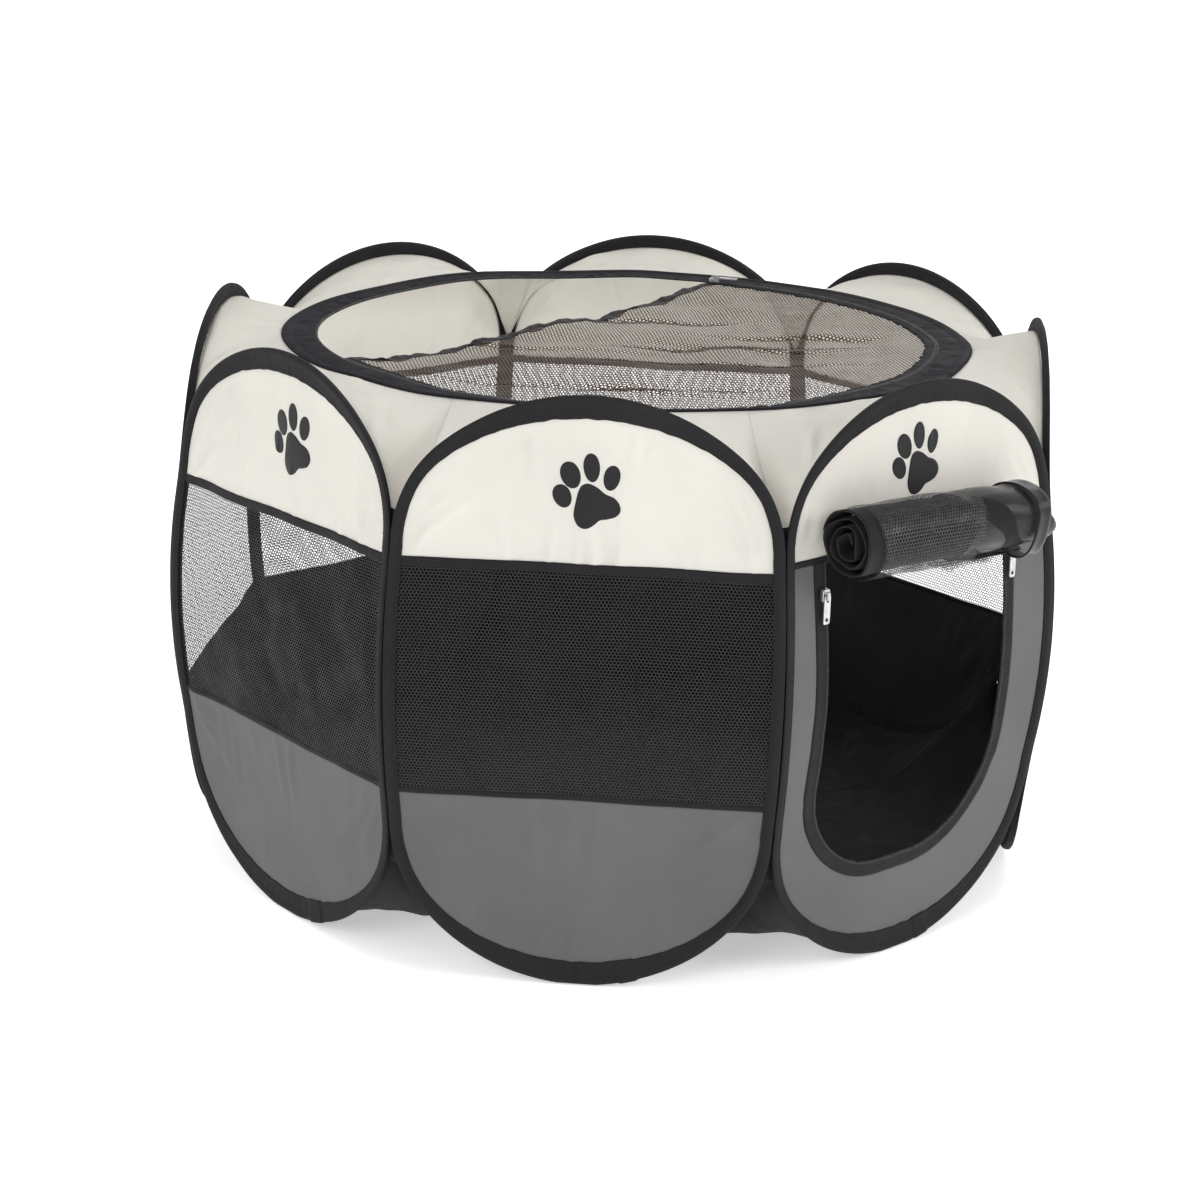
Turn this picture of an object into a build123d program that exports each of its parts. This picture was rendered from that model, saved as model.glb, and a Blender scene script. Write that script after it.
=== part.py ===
from build123d import *
import math
import os

# Pop-up octagonal pet playpen: eight sprung hoop panels, a cream roof with a
# zipped netting cover, a black floor cloth and a zipped netting door rolled up
# over its opening.  Millimetres, +Z up, origin on the ground under the middle.
# Panels are numbered counter-clockwise seen from above; panel 3 holds the door
# and faces -Y.  A panel's own axes are u (along it), n (outward) and z.

# ---------------------------------------------------------------- driving sizes
SIDES = 8
STEP_DEG = 360.0 / SIDES
DOOR_PANEL = 3

HEIGHT = 584.0            # overall height, top of the hoop arches
APOTHEM_MID = 450.0       # middle surface of a panel at its bulging waist
BULGE = 16.0              # how far the waist stands out beyond top and bottom
WAIST_Z = 298.0           # height of the waist
BULGE_REACH = 220.0       # above and below the waist by this much, panels are flat

BIND_T = 8.0              # thickness of the folded binding
BIND_W = 24.0             # width of the binding under the hoop
BIND_TOP_W = 22.5         # over the arch
BIND_SIDE_W = 9.5         # along the sides, where two hoops are sewn together
BIND_TAPER_LOW_Z = 105.0  # below and above these heights it widens
BIND_TAPER_HIGH_Z = 495.0
BIND_FOLD = 1.6           # wall at the folded outer edge
SLOT_T = 2.8              # gap between the two legs of the binding
SIDE_GAP = 0.6            # each hoop's clearance from the mitre to its neighbour

SIDE_LOW_Z = 165.0        # sides run straight between these two heights
SIDE_HIGH_Z = 436.0
R_LOW_CORNER = 150.0
R_HIGH_CORNER = 128.0

WIRE_W = 4.5              # flat spring-steel strip inside the binding
WIRE_T = 1.8
WIRE_INSET = 2.0

CLOTH_T = 1.2
NET_T = 1.0
CLOTH_INSET = 7.2         # cloth edge inside the binding, measured from the rim
HEM_INSET = 8.0           # edge of the roof and floor cloths, measured from the rim
SEAM_HIGH_Z = 422.0       # upper cloth to netting window
SEAM_LOW_Z = 195.0        # netting window to lower cloth
DOOR_SEAM_Z = 432.0       # upper cloth to door surround

DOOR_CENTRE_U = -9.0      # the doorway sits a little left of the panel's middle
DOOR_HALF_W = 135.0       # outer edge of the door's zip tape, from the doorway's middle
DOOR_LOW_Z = 92.0
DOOR_CORNER_R = 115.0
DOOR_TAPE_W = 12.0
DOOR_TAPE_T = 2.4

ROLL_R = 32.0
ROLL_HOLE_R = 7.0
ROLL_FROM_U = -140.0      # left and right ends of the roll
ROLL_TO_U = 112.0
ROLL_Z = 454.0

RING_Z = 550.0            # middle of the zip ring in the roof
RING_R_OUT = 364.0
RING_R_MID = 328.0        # roof tape stops, cover tape starts
RING_R_IN = 315.0
RING_T = 2.0
VALLEY_Z = 470.0          # roof valley at the corners
COVER_OPEN_DIR = 100.5     # bearing of the unzipped part of the cover
COVER_OPEN_D = 122.0      # distance of its free edge from the middle
GORE_T = 1.5

FLOOR_R = 330.0           # flat part of the floor
FLOOR_T = 2.0
FLOOR_CORNER_Z = 124.0    # floor cloth reaches up to here between the hoops

TAN = math.tan(math.radians(STEP_DEG / 2))
R_BULGE = BULGE_REACH**2 / (4 * BULGE)


# ---------------------------------------------------------------- shared geometry
def bulge_n(z):
    """Middle surface of a panel: distance from the pen's axis at height z."""
    d = abs(z - WAIST_Z)
    if d <= BULGE_REACH / 2:
        return APOTHEM_MID - d * d / (2 * R_BULGE)
    if d <= BULGE_REACH:
        return APOTHEM_MID - BULGE + (BULGE_REACH - d) ** 2 / (2 * R_BULGE)
    return APOTHEM_MID - BULGE


def half_width(z):
    return (bulge_n(z) - BIND_T / 2) * TAN - SIDE_GAP


SIDE_END = min(half_width(SIDE_LOW_Z), half_width(SIDE_HIGH_Z))
SIDE_MID = half_width(WAIST_Z)


def arch(r_corner, rise, cx):
    """Radius of the end arc that closes two corner arcs, and its run-in point."""
    h = rise - r_corner
    d = (cx * cx + h * h) / (2 * h)
    return r_corner + d, d


CX_LOW = SIDE_END - R_LOW_CORNER
CX_HIGH = SIDE_END - R_HIGH_CORNER
R_LOW, D_LOW = arch(R_LOW_CORNER, SIDE_LOW_Z, CX_LOW)
R_HIGH, D_HIGH = arch(R_HIGH_CORNER, HEIGHT - SIDE_HIGH_Z, CX_HIGH)
ZC_LOW = R_LOW
ZC_HIGH = HEIGHT - R_HIGH


def outline_z(u, top):
    """Height of the hoop's rim at distance u from its centre line."""
    a = abs(u)
    if top:
        run = CX_HIGH + R_HIGH_CORNER * CX_HIGH / D_HIGH
        if a <= run:
            return ZC_HIGH + math.sqrt(R_HIGH**2 - a * a)
        return SIDE_HIGH_Z + math.sqrt(max(R_HIGH_CORNER**2 - (a - CX_HIGH) ** 2, 0))
    run = CX_LOW + R_LOW_CORNER * CX_LOW / D_LOW
    if a <= run:
        return ZC_LOW - math.sqrt(R_LOW**2 - a * a)
    return SIDE_LOW_Z - math.sqrt(max(R_LOW_CORNER**2 - (a - CX_LOW) ** 2, 0))


def outline_face(inset):
    """Face of the hoop's outline, shrunk by inset, on the plane of u and z."""
    rl, rh = R_LOW - inset, R_HIGH - inset
    dl = (CX_LOW / D_LOW, (SIDE_LOW_Z - ZC_LOW) / D_LOW)
    dh = (CX_HIGH / D_HIGH, (SIDE_HIGH_Z - ZC_HIGH) / D_HIGH)
    low_r = (rl * dl[0], ZC_LOW + rl * dl[1])
    high_r = (rh * dh[0], ZC_HIGH + rh * dh[1])
    se, sm = SIDE_END - inset, SIDE_MID - inset
    rcl, rch = R_LOW_CORNER - inset, R_HIGH_CORNER - inset

    def on_corner(cx, cz, r, a, b):
        m = math.atan2(a[1] - cz, a[0] - cx), math.atan2(b[1] - cz, b[0] - cx)
        t = (m[0] + m[1]) / 2
        return (cx + r * math.cos(t), cz + r * math.sin(t))

    p_lo, p_hi = (se, SIDE_LOW_Z), (se, SIDE_HIGH_Z)
    c_lo = on_corner(CX_LOW, SIDE_LOW_Z, rcl, low_r, p_lo)
    c_hi = on_corner(CX_HIGH, SIDE_HIGH_Z, rch, p_hi, high_r)

    def flip(p):
        return (-p[0], p[1])

    with BuildSketch(Plane.XZ) as sk:
        with BuildLine():
            ThreePointArc(flip(low_r), (0, ZC_LOW - rl), low_r)
            ThreePointArc(low_r, c_lo, p_lo)
            ThreePointArc(p_lo, (sm, WAIST_Z), p_hi)
            ThreePointArc(p_hi, c_hi, high_r)
            ThreePointArc(high_r, (0, ZC_HIGH + rh), flip(high_r))
            ThreePointArc(flip(high_r), flip(c_hi), flip(p_hi))
            ThreePointArc(flip(p_hi), (-sm, WAIST_Z), flip(p_lo))
            ThreePointArc(flip(p_lo), flip(c_lo), flip(low_r))
        make_face()
    return sk.sketch


def leg_width(z):
    """Width of the binding's legs at a point of the rim at height z."""
    if z > BIND_TAPER_HIGH_Z:
        t = (z - BIND_TAPER_HIGH_Z) / (HEIGHT - BIND_TAPER_HIGH_Z)
        return BIND_SIDE_W + (BIND_TOP_W - BIND_SIDE_W) * t**1.5
    if z < BIND_TAPER_LOW_Z:
        t = (BIND_TAPER_LOW_Z - z) / BIND_TAPER_LOW_Z
        return BIND_SIDE_W + (BIND_W - BIND_SIDE_W) * t**1.8
    return BIND_SIDE_W


def leg_face():
    """Face inside the binding's inner edge, which narrows towards the sides."""
    def inside(cx, cz, r, degrees):
        t = math.radians(degrees)
        z = cz + r * math.sin(t)
        w = leg_width(z)
        return (cx + (r - w) * math.cos(t), cz + (r - w) * math.sin(t))

    low = math.degrees(math.atan2(SIDE_LOW_Z - ZC_LOW, CX_LOW))
    high = math.degrees(math.atan2(SIDE_HIGH_Z - ZC_HIGH, CX_HIGH))
    half = [inside(0, ZC_LOW, R_LOW, -90 + (low + 90) * i / 4) for i in range(1, 5)]
    half += [inside(CX_LOW, SIDE_LOW_Z, R_LOW_CORNER, low * (3 - i) / 3) for i in range(1, 3)]
    half += [(half_width(z) - BIND_SIDE_W, z) for z in (165, 209, 254, 298, 344, 390, 436)]
    half += [inside(CX_HIGH, SIDE_HIGH_Z, R_HIGH_CORNER, high * i / 3) for i in range(1, 3)]
    half += [inside(0, ZC_HIGH, R_HIGH, high + (90 - high) * i / 6) for i in range(6)]
    bottom, top = (0, BIND_W), (0, HEIGHT - BIND_TOP_W)
    pts = [bottom] + half + [top] + [(-u, z) for u, z in half[::-1]]
    with BuildSketch(Plane.XZ) as sk:
        with BuildLine():
            Spline(*pts, periodic=True)
        make_face()
    return sk.sketch


def prism(face):
    """The outline pushed through the depth that panels occupy."""
    with BuildPart() as p:
        add(face)
        extrude(amount=520, dir=(0, -1, 0))
    return p.part


def plate(lo, hi, z0=-5.0, z1=HEIGHT + 5.0):
    """A panel-wide sheet that follows the bulge, from offset lo to hi along n."""
    marks = [-BULGE_REACH, -BULGE_REACH / 2, BULGE_REACH / 2, BULGE_REACH]
    zs = [WAIST_Z + m for m in marks]
    mids = [WAIST_Z - 0.75 * BULGE_REACH, WAIST_Z, WAIST_Z + 0.75 * BULGE_REACH]

    def y(z, off):
        return -(bulge_n(z) + off)

    with BuildPart() as p:
        with BuildSketch(Plane.YZ.offset(-200)):
            with BuildLine():
                Line((y(-40, lo), -40), (y(zs[0], lo), zs[0]))
                for a, m, b in zip(zs[:-1], mids, zs[1:]):
                    ThreePointArc((y(a, lo), a), (y(m, lo), m), (y(b, lo), b))
                Line((y(zs[3], lo), zs[3]), (y(640, lo), 640))
                Line((y(640, lo), 640), (y(640, hi), 640))
                Line((y(640, hi), 640), (y(zs[3], hi), zs[3]))
                for a, m, b in zip(zs[::-1][:-1], mids[::-1], zs[::-1][1:]):
                    ThreePointArc((y(a, hi), a), (y(m, hi), m), (y(b, hi), b))
                Line((y(zs[0], hi), zs[0]), (y(-40, hi), -40))
                Line((y(-40, hi), -40), (y(-40, lo), -40))
            make_face()
        extrude(amount=400)
        with Locations((0, -440, (z0 + z1) / 2)):
            Box(420, 200, z1 - z0, mode=Mode.INTERSECT)
    return p.part


def turned(base, k, label):
    """A copy of a door-panel piece, turned to panel k and written out."""
    with BuildPart() as node:
        with Locations(Rotation(0, 0, STEP_DEG * (k - DOOR_PANEL))):
            add(base)
    node.part.label = label
    export_step(node.part, f"parts/{label}.step")
    return node.part


def write(node, label):
    node.part.label = label
    export_step(node.part, f"parts/{label}.step")


def skin(outer, inner, t):
    """Closed thin body between two rows of points, t thick along z."""
    def face(*pts):
        return Face(Wire.make_polygon([Vector(*p) for p in pts], close=True))

    def up(p, s):
        return (p[0], p[1], p[2] + s * t / 2)

    faces = []
    for i in range(len(outer) - 1):
        a, b, c, d = outer[i], outer[i + 1], inner[i + 1], inner[i]
        for s in (1, -1):
            faces += [face(up(a, s), up(b, s), up(c, s)), face(up(a, s), up(c, s), up(d, s))]
        for p, q in ((a, b), (d, c)):
            faces += [face(up(p, -1), up(q, -1), up(q, 1), up(p, 1))]
    for p, q in ((outer[0], inner[0]), (outer[-1], inner[-1])):
        faces += [face(up(p, -1), up(q, -1), up(q, 1), up(p, 1))]
    return Solid(Shell(faces))


os.makedirs("parts", exist_ok=True)
PANELS = range(1, SIDES + 1)

# ---------------------------------------------------------------- hoops
with BuildPart() as binding:
    add(plate(-BIND_T / 2, BIND_T / 2))
    add(prism(outline_face(0)), mode=Mode.INTERSECT)
    add(prism(leg_face()), mode=Mode.SUBTRACT)
with BuildPart() as slot_cut:
    add(plate(-SLOT_T / 2, SLOT_T / 2))
    add(prism(outline_face(BIND_FOLD)), mode=Mode.INTERSECT)
with BuildPart() as binding_base:
    add(binding.part)
    add(slot_cut.part, mode=Mode.SUBTRACT)

with BuildPart() as wire_base:
    add(plate(-WIRE_T / 2, WIRE_T / 2))
    add(prism(outline_face(WIRE_INSET)), mode=Mode.INTERSECT)
    add(prism(outline_face(WIRE_INSET + WIRE_W)), mode=Mode.SUBTRACT)

# ---------------------------------------------------------------- panel cloths
cloth_prism = prism(outline_face(CLOTH_INSET))

with BuildPart() as upper_base:
    add(plate(-CLOTH_T / 2, CLOTH_T / 2, SEAM_HIGH_Z, HEIGHT))
    add(cloth_prism, mode=Mode.INTERSECT)
with BuildPart() as window_base:
    add(plate(-NET_T / 2, NET_T / 2, SEAM_LOW_Z, SEAM_HIGH_Z))
    add(cloth_prism, mode=Mode.INTERSECT)
with BuildPart() as lower_base:
    add(plate(-CLOTH_T / 2, CLOTH_T / 2, 0, SEAM_LOW_Z))
    add(cloth_prism, mode=Mode.INTERSECT)
with BuildPart() as upper_door_base:
    add(plate(-CLOTH_T / 2, CLOTH_T / 2, DOOR_SEAM_Z, HEIGHT))
    add(cloth_prism, mode=Mode.INTERSECT)


def door_face(half, low):
    """U-shaped outline of the door, open at the seam under the upper cloth."""
    r = DOOR_CORNER_R - (DOOR_HALF_W - half)
    top = DOOR_SEAM_Z + 20
    left, right = DOOR_CENTRE_U - half, DOOR_CENTRE_U + half
    q = r * (1 - math.sqrt(0.5))
    with BuildSketch(Plane.XZ) as sk:
        with BuildLine():
            Line((left, top), (left, low + r))
            ThreePointArc((left, low + r), (left + q, low + q), (left + r, low))
            Line((left + r, low), (right - r, low))
            ThreePointArc((right - r, low), (right - q, low + q), (right, low + r))
            Line((right, low + r), (right, top))
            Line((right, top), (left, top))
        make_face()
    return sk.sketch


with BuildPart() as surround_base:
    add(plate(-CLOTH_T / 2, CLOTH_T / 2, 0, DOOR_SEAM_Z))
    add(cloth_prism, mode=Mode.INTERSECT)
    add(prism(door_face(DOOR_HALF_W, DOOR_LOW_Z)), mode=Mode.SUBTRACT)
with BuildPart() as door_zip_tape:
    add(plate(-DOOR_TAPE_T / 2, DOOR_TAPE_T / 2, 0, DOOR_SEAM_Z - 0.5))
    add(prism(door_face(DOOR_HALF_W - 0.3, DOOR_LOW_Z + 0.3)), mode=Mode.INTERSECT)
    add(
        prism(door_face(DOOR_HALF_W - DOOR_TAPE_W, DOOR_LOW_Z + DOOR_TAPE_W)),
        mode=Mode.SUBTRACT,
    )

for k in PANELS:
    turned(binding_base.part, k, f"binding_{k}")
    turned(wire_base.part, k, f"hoop_wire_{k}")
    if k == DOOR_PANEL:
        turned(upper_door_base.part, k, f"upper_cloth_{k}")
    else:
        turned(upper_base.part, k, f"upper_cloth_{k}")
        turned(window_base.part, k, f"window_net_{k}")
        turned(lower_base.part, k, f"lower_cloth_{k}")
write(surround_base, "door_surround")
write(door_zip_tape, "door_zip_tape")

# ---------------------------------------------------------------- roof gores
RING_U = RING_R_OUT * math.sin(math.radians(STEP_DEG / 2))
GORE_END_U = 172.0
gore_us = [-GORE_END_U, -160, -RING_U, -120, -90, -60, -30, 0]
gore_us += [-u for u in gore_us[-2::-1]]
gore_outer, gore_inner = [], []
for u in gore_us:
    z = outline_z(u, True) - HEM_INSET
    gore_outer.append((u, -(bulge_n(z) - BIND_T / 2 - 0.6), z))
    if abs(u) <= RING_U + 1e-6:
        n = math.sqrt((RING_R_OUT + 0.6) ** 2 - u * u)
        gore_inner.append((u * (1 - 0.6 / RING_U), -n, RING_Z))
    else:
        corner_u = (APOTHEM_MID - BULGE - BIND_T / 2) * TAN
        share = (abs(u) - RING_U) / (corner_u - RING_U)
        gore_inner.append(
            (u, -(abs(u) / TAN + 1.6), RING_Z - share * (RING_Z - VALLEY_Z))
        )
with BuildPart() as gore_base:
    add(skin(gore_outer, gore_inner, GORE_T))
for k in PANELS:
    turned(gore_base.part, k, f"roof_gore_{k}")

# ---------------------------------------------------------------- zip ring and cover
with BuildPart() as roof_zip_tape:
    with BuildSketch(Plane.XY.offset(RING_Z - RING_T / 2)):
        Circle(RING_R_OUT)
        Circle(RING_R_MID, mode=Mode.SUBTRACT)
    extrude(amount=RING_T)
write(roof_zip_tape, "roof_zip_tape")


def cover_sketch(r, d):
    """Disc of radius r with its unzipped segment, beyond distance d, left off."""
    a = math.radians(COVER_OPEN_DIR)
    half = math.acos(d / r)
    ends = [
        (r * math.cos(a + s * half), r * math.sin(a + s * half)) for s in (1, -1)
    ]
    with BuildSketch(Plane.XY.offset(RING_Z - RING_T / 2)) as sk:
        with BuildLine():
            ThreePointArc(ends[0], (-r * math.cos(a), -r * math.sin(a)), ends[1])
            Line(ends[1], ends[0])
        make_face()
    return sk.sketch


with BuildPart() as cover_zip_tape:
    add(cover_sketch(RING_R_MID - 1.0, COVER_OPEN_D))
    extrude(amount=RING_T)
    with BuildPart(mode=Mode.PRIVATE) as hole:
        add(cover_sketch(RING_R_IN, COVER_OPEN_D - 14))
        extrude(amount=RING_T)
    add(hole.part, mode=Mode.SUBTRACT)
write(cover_zip_tape, "cover_zip_tape")

with BuildPart() as cover_net:
    add(cover_sketch(RING_R_IN - 0.6, COVER_OPEN_D - 14.6))
    extrude(amount=1.4)
write(cover_net, "cover_net")

# ---------------------------------------------------------------- floor cloth
CORNER_N = bulge_n(FLOOR_CORNER_Z) - BIND_T / 2 - 2.0
ts = [-1, -0.86, -0.7, -0.5, -0.25, 0, 0.25, 0.5, 0.7, 0.86, 1]
rim, flat = [], []
for k in PANELS:
    turn = math.radians(STEP_DEG * (k - DOOR_PANEL))
    for t in ts[:-1]:
        if t == -1:
            x, n, z = -CORNER_N * TAN, CORNER_N, FLOOR_CORNER_Z
        else:
            x = t * (CORNER_N * TAN - 3)
            z = max(outline_z(x, False) + HEM_INSET, FLOOR_T + 6)
            n = bulge_n(z) - BIND_T / 2 - 1.0
        a = math.radians(t * STEP_DEG / 2 - 90)
        fx, fy = FLOOR_R * math.cos(a), FLOOR_R * math.sin(a)
        c, s = math.cos(turn), math.sin(turn)
        rim.append((x * c + n * s, x * s - n * c, z))
        flat.append((fx * c - fy * s, fx * s + fy * c, FLOOR_T / 2))


def floor_solid():
    def face(*pts):
        return Face(Wire.make_polygon([Vector(*p) for p in pts], close=True))

    def up(p, s):
        return (p[0], p[1], p[2] + s * FLOOR_T / 2)

    faces, m = [], len(rim)
    for i in range(m):
        j = (i + 1) % m
        for s in (1, -1):
            faces.append(face(up(rim[i], s), up(rim[j], s), up(flat[j], s)))
            faces.append(face(up(rim[i], s), up(flat[j], s), up(flat[i], s)))
        faces.append(face(up(rim[i], -1), up(rim[j], -1), up(rim[j], 1), up(rim[i], 1)))
    for s in (1, -1):
        faces.append(face(*[up(p, s) for p in flat]))
    return Solid(Shell(faces))


with BuildPart() as floor_cloth:
    add(floor_solid())
write(floor_cloth, "floor_cloth")

# ---------------------------------------------------------------- zip sliders
BAR_Z = 5.1


def slider_part():
    """Slider with its bridge: width along x, travel along y, z away from the tape."""
    with BuildPart() as s:
        with BuildSketch():
            RectangleRounded(9, 13, 2.5)
        extrude(amount=4)
        chamfer(s.edges().group_by(Axis.Z)[-1], 0.5)
        with Locations((0, 0, 5.7)):
            Box(3, 8, 3.6)
        with Locations((0, 0, BAR_Z)):
            Box(3.2, 4.8, 2.2, mode=Mode.SUBTRACT)
        fillet(
            s.edges().filter_by(Axis.X).group_by(Axis.Z)[-1],
            1.0,
        )
    return s.part


def pull_part(length):
    """Tab that swings on a bar through the slider's bridge, towards +y at rest."""
    with BuildPart() as p:
        with BuildSketch(Plane.XY.offset(BAR_Z - 0.6)):
            with Locations((0, length / 2 - 0.7)):
                RectangleRounded(8, length, 2.0)
            with Locations((0, 3.5)):
                Rectangle(4.2, 5.6, mode=Mode.SUBTRACT)
            with Locations((0, length - 5)):
                Circle(1.8, mode=Mode.SUBTRACT)
        extrude(amount=1.2)
    return p.part


def placed(base, where, label):
    with BuildPart() as node:
        with Locations(where):
            add(base)
    node.part.label = label
    export_step(node.part, f"parts/{label}.step")


slider = slider_part()
pull_long = pull_part(28.0)

# door sliders: on the outer face of the door's zip tape, pulls hanging down
SLIDER_U = DOOR_HALF_W - DOOR_TAPE_W / 2
SLIDER_Z = 400.0
SLIDER_FACE = bulge_n(SLIDER_Z) + DOOR_TAPE_T / 2 + 2.2
for side, name in ((-1, "left"), (1, "right")):
    where = Plane(
        origin=(DOOR_CENTRE_U + side * SLIDER_U, -SLIDER_FACE, SLIDER_Z),
        x_dir=(-1, 0, 0),
        z_dir=(0, -1, 0),
    )
    placed(slider, where.location, f"door_slider_{name}")
    placed(pull_long, where.location, f"door_pull_{name}")

# cover slider: where the unzipped part starts, its pull lying along the ring
SLIDER_BEARING = 31.0
b = math.radians(SLIDER_BEARING)
radial = (math.cos(b), math.sin(b), 0)
where = Plane(
    origin=(
        (RING_R_MID - 0.5) * radial[0],
        (RING_R_MID - 0.5) * radial[1],
        RING_Z + RING_T / 2 + 0.5,
    ),
    x_dir=(-radial[0], -radial[1], 0),
    z_dir=(0, 0, 1),
)
placed(slider, where.location, "cover_slider")
placed(pull_long, where.location, "cover_pull")

# ---------------------------------------------------------------- rolled door
ROLL_N = bulge_n(ROLL_Z) + BIND_T / 2 + 1.5 + ROLL_R
with BuildPart() as door_roll:
    with BuildSketch(Plane.YZ.offset(ROLL_FROM_U)):
        with Locations((-ROLL_N, ROLL_Z)):
            Circle(ROLL_R)
            Circle(ROLL_HOLE_R, mode=Mode.SUBTRACT)
    extrude(amount=ROLL_TO_U - ROLL_FROM_U)
write(door_roll, "door_roll")

# strap loop round the right end of the roll
STRAP_U = 84.0
STRAP_W = 18.0
STRAP_T = 1.6
with BuildPart() as roll_strap:
    with BuildSketch(Plane.YZ.offset(STRAP_U)):
        with Locations((-ROLL_N, ROLL_Z)):
            Circle(ROLL_R + 0.4 + STRAP_T)
            Circle(ROLL_R + 0.4, mode=Mode.SUBTRACT)
    extrude(amount=STRAP_W)
write(roll_strap, "roll_strap")

# ---------------------------------------------------------------- numbers for the joints
CLOSE_N = APOTHEM_MID - BULGE - BIND_T / 2
OPEN_N = APOTHEM_MID + BIND_T / 2
print("closing hinge radius", round(CLOSE_N / math.cos(math.radians(22.5)), 4))
print("opening hinge radius", round(OPEN_N / math.cos(math.radians(22.5)), 4))
print("side half widths", round(SIDE_END, 3), round(SIDE_MID, 3))
print("arch radii", round(R_LOW, 2), round(R_HIGH, 2), "centres", round(CX_LOW, 2), round(CX_HIGH, 2), round(ZC_LOW, 2), round(ZC_HIGH, 2))
print("roll centre n", round(ROLL_N, 3), "z", ROLL_Z)
print("door slider n", round(SLIDER_FACE, 3), "u", SLIDER_U, "z", SLIDER_Z)
print("bulge radius", round(R_BULGE, 3))
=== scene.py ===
import math

import bpy
import numpy as np
from mathutils import Matrix, Vector

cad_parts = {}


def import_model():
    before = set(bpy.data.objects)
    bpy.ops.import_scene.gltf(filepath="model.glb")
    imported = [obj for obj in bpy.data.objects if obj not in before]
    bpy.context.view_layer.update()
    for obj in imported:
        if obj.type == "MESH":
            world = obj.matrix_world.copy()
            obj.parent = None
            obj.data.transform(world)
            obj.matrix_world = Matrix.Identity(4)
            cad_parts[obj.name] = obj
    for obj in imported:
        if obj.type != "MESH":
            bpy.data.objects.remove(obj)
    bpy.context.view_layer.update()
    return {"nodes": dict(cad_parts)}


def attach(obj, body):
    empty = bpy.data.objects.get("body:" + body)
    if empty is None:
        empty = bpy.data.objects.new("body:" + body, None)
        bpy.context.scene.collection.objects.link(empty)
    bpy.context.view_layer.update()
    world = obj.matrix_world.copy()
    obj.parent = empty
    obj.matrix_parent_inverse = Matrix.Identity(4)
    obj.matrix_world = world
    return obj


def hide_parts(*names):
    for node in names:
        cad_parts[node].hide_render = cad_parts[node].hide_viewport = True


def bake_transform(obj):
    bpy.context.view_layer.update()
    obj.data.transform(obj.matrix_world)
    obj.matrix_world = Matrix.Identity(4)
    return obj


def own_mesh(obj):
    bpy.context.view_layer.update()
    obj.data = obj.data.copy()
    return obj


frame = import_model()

PANELS = range(1, 9)
TAN = math.tan(math.radians(22.5))


# ------------------------------------------------------------------ camera
def make_camera():
    az, el, roll = map(math.radians, (-40.974, 16.92, 1.699))
    back = Vector((math.sin(az) * math.cos(el), -math.cos(az) * math.cos(el), math.sin(el)))
    right = Vector((math.cos(az), math.sin(az), 0))
    up = back.cross(right)
    x = right * math.cos(roll) + up * math.sin(roll)
    y = -right * math.sin(roll) + up * math.cos(roll)
    data = bpy.data.cameras.new("camera")
    data.sensor_fit = "HORIZONTAL"
    data.sensor_width = 36.0
    data.lens = 2600.8 / 1200 * 36
    data.shift_x = -20.215 / 1200
    data.shift_y = -31.958 / 1200
    data.clip_start = 0.05
    data.clip_end = 200
    cam = bpy.data.objects.new("camera", data)
    bpy.context.scene.collection.objects.link(cam)
    where = Vector((0, 0, 0.290)) + back * 2.8442
    m = Matrix.Identity(4)
    for r in range(3):
        m[r][0], m[r][1], m[r][2], m[r][3] = x[r], y[r], back[r], where[r]
    cam.matrix_world = m
    bpy.context.scene.camera = cam


make_camera()


# ------------------------------------------------------------------ panel geometry, in millimetres
def circle3(a, b, c):
    (ax, ay), (bx, by), (cx, cy) = a, b, c
    d = 2 * (ax * (by - cy) + bx * (cy - ay) + cx * (ay - by))
    x = ((ax * ax + ay * ay) * (by - cy) + (bx * bx + by * by) * (cy - ay) + (cx * cx + cy * cy) * (ay - by)) / d
    y = ((ax * ax + ay * ay) * (cx - bx) + (bx * bx + by * by) * (ax - cx) + (cx * cx + cy * cy) * (bx - ax)) / d
    return x, y, math.hypot(ax - x, ay - y)


LOW_Z, HIGH_Z = 165.0, 436.0
R_LC, R_HC = 150.0, 128.0
CX_L, CX_H = 29.353, 51.353
R_LB, R_HB = 186.22, 203.93
Z_LB, Z_HB = 186.22, 380.07
SX, SZ, SR = circle3((179.353, 165.0), (184.139, 298.0), (179.353, 436.0))
ANG_L = math.atan2(LOW_Z - Z_LB, CX_L)
ANG_H = math.atan2(HIGH_Z - Z_HB, CX_H)
SEAM_HIGH, SEAM_LOW, DOOR_SEAM = 422.0, 195.0, 432.0
RING_Z, RING_OUT, RING_MID, RING_IN = 550.0, 364.0, 328.0, 315.0
DOOR_C, DOOR_HALF, DOOR_LOW, DOOR_R = -9.0, 135.0, 92.0, 115.0


def bulge_n(z):
    d = np.abs(np.asarray(z, float) - 298.0)
    return np.where(d <= 110, 450 - d * d / 1512.5, np.where(d <= 220, 434 + (220 - d) ** 2 / 1512.5, 434.0))


def half_w(z, i=0.0):
    z = np.asarray(z, float)
    zl = Z_LB + (R_LB - i) * math.sin(ANG_L)
    zh = Z_HB + (R_HB - i) * math.sin(ANG_H)
    root = lambda v: np.sqrt(np.maximum(v, 0))
    return np.select(
        [z < zl, z < LOW_Z, z <= HIGH_Z, z < zh],
        [
            root((R_LB - i) ** 2 - (z - Z_LB) ** 2),
            CX_L + root((R_LC - i) ** 2 - (z - LOW_Z) ** 2),
            SX + root((SR - i) ** 2 - (z - SZ) ** 2),
            CX_H + root((R_HC - i) ** 2 - (z - HIGH_Z) ** 2),
        ],
        root((R_HB - i) ** 2 - (z - Z_HB) ** 2),
    )


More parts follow.
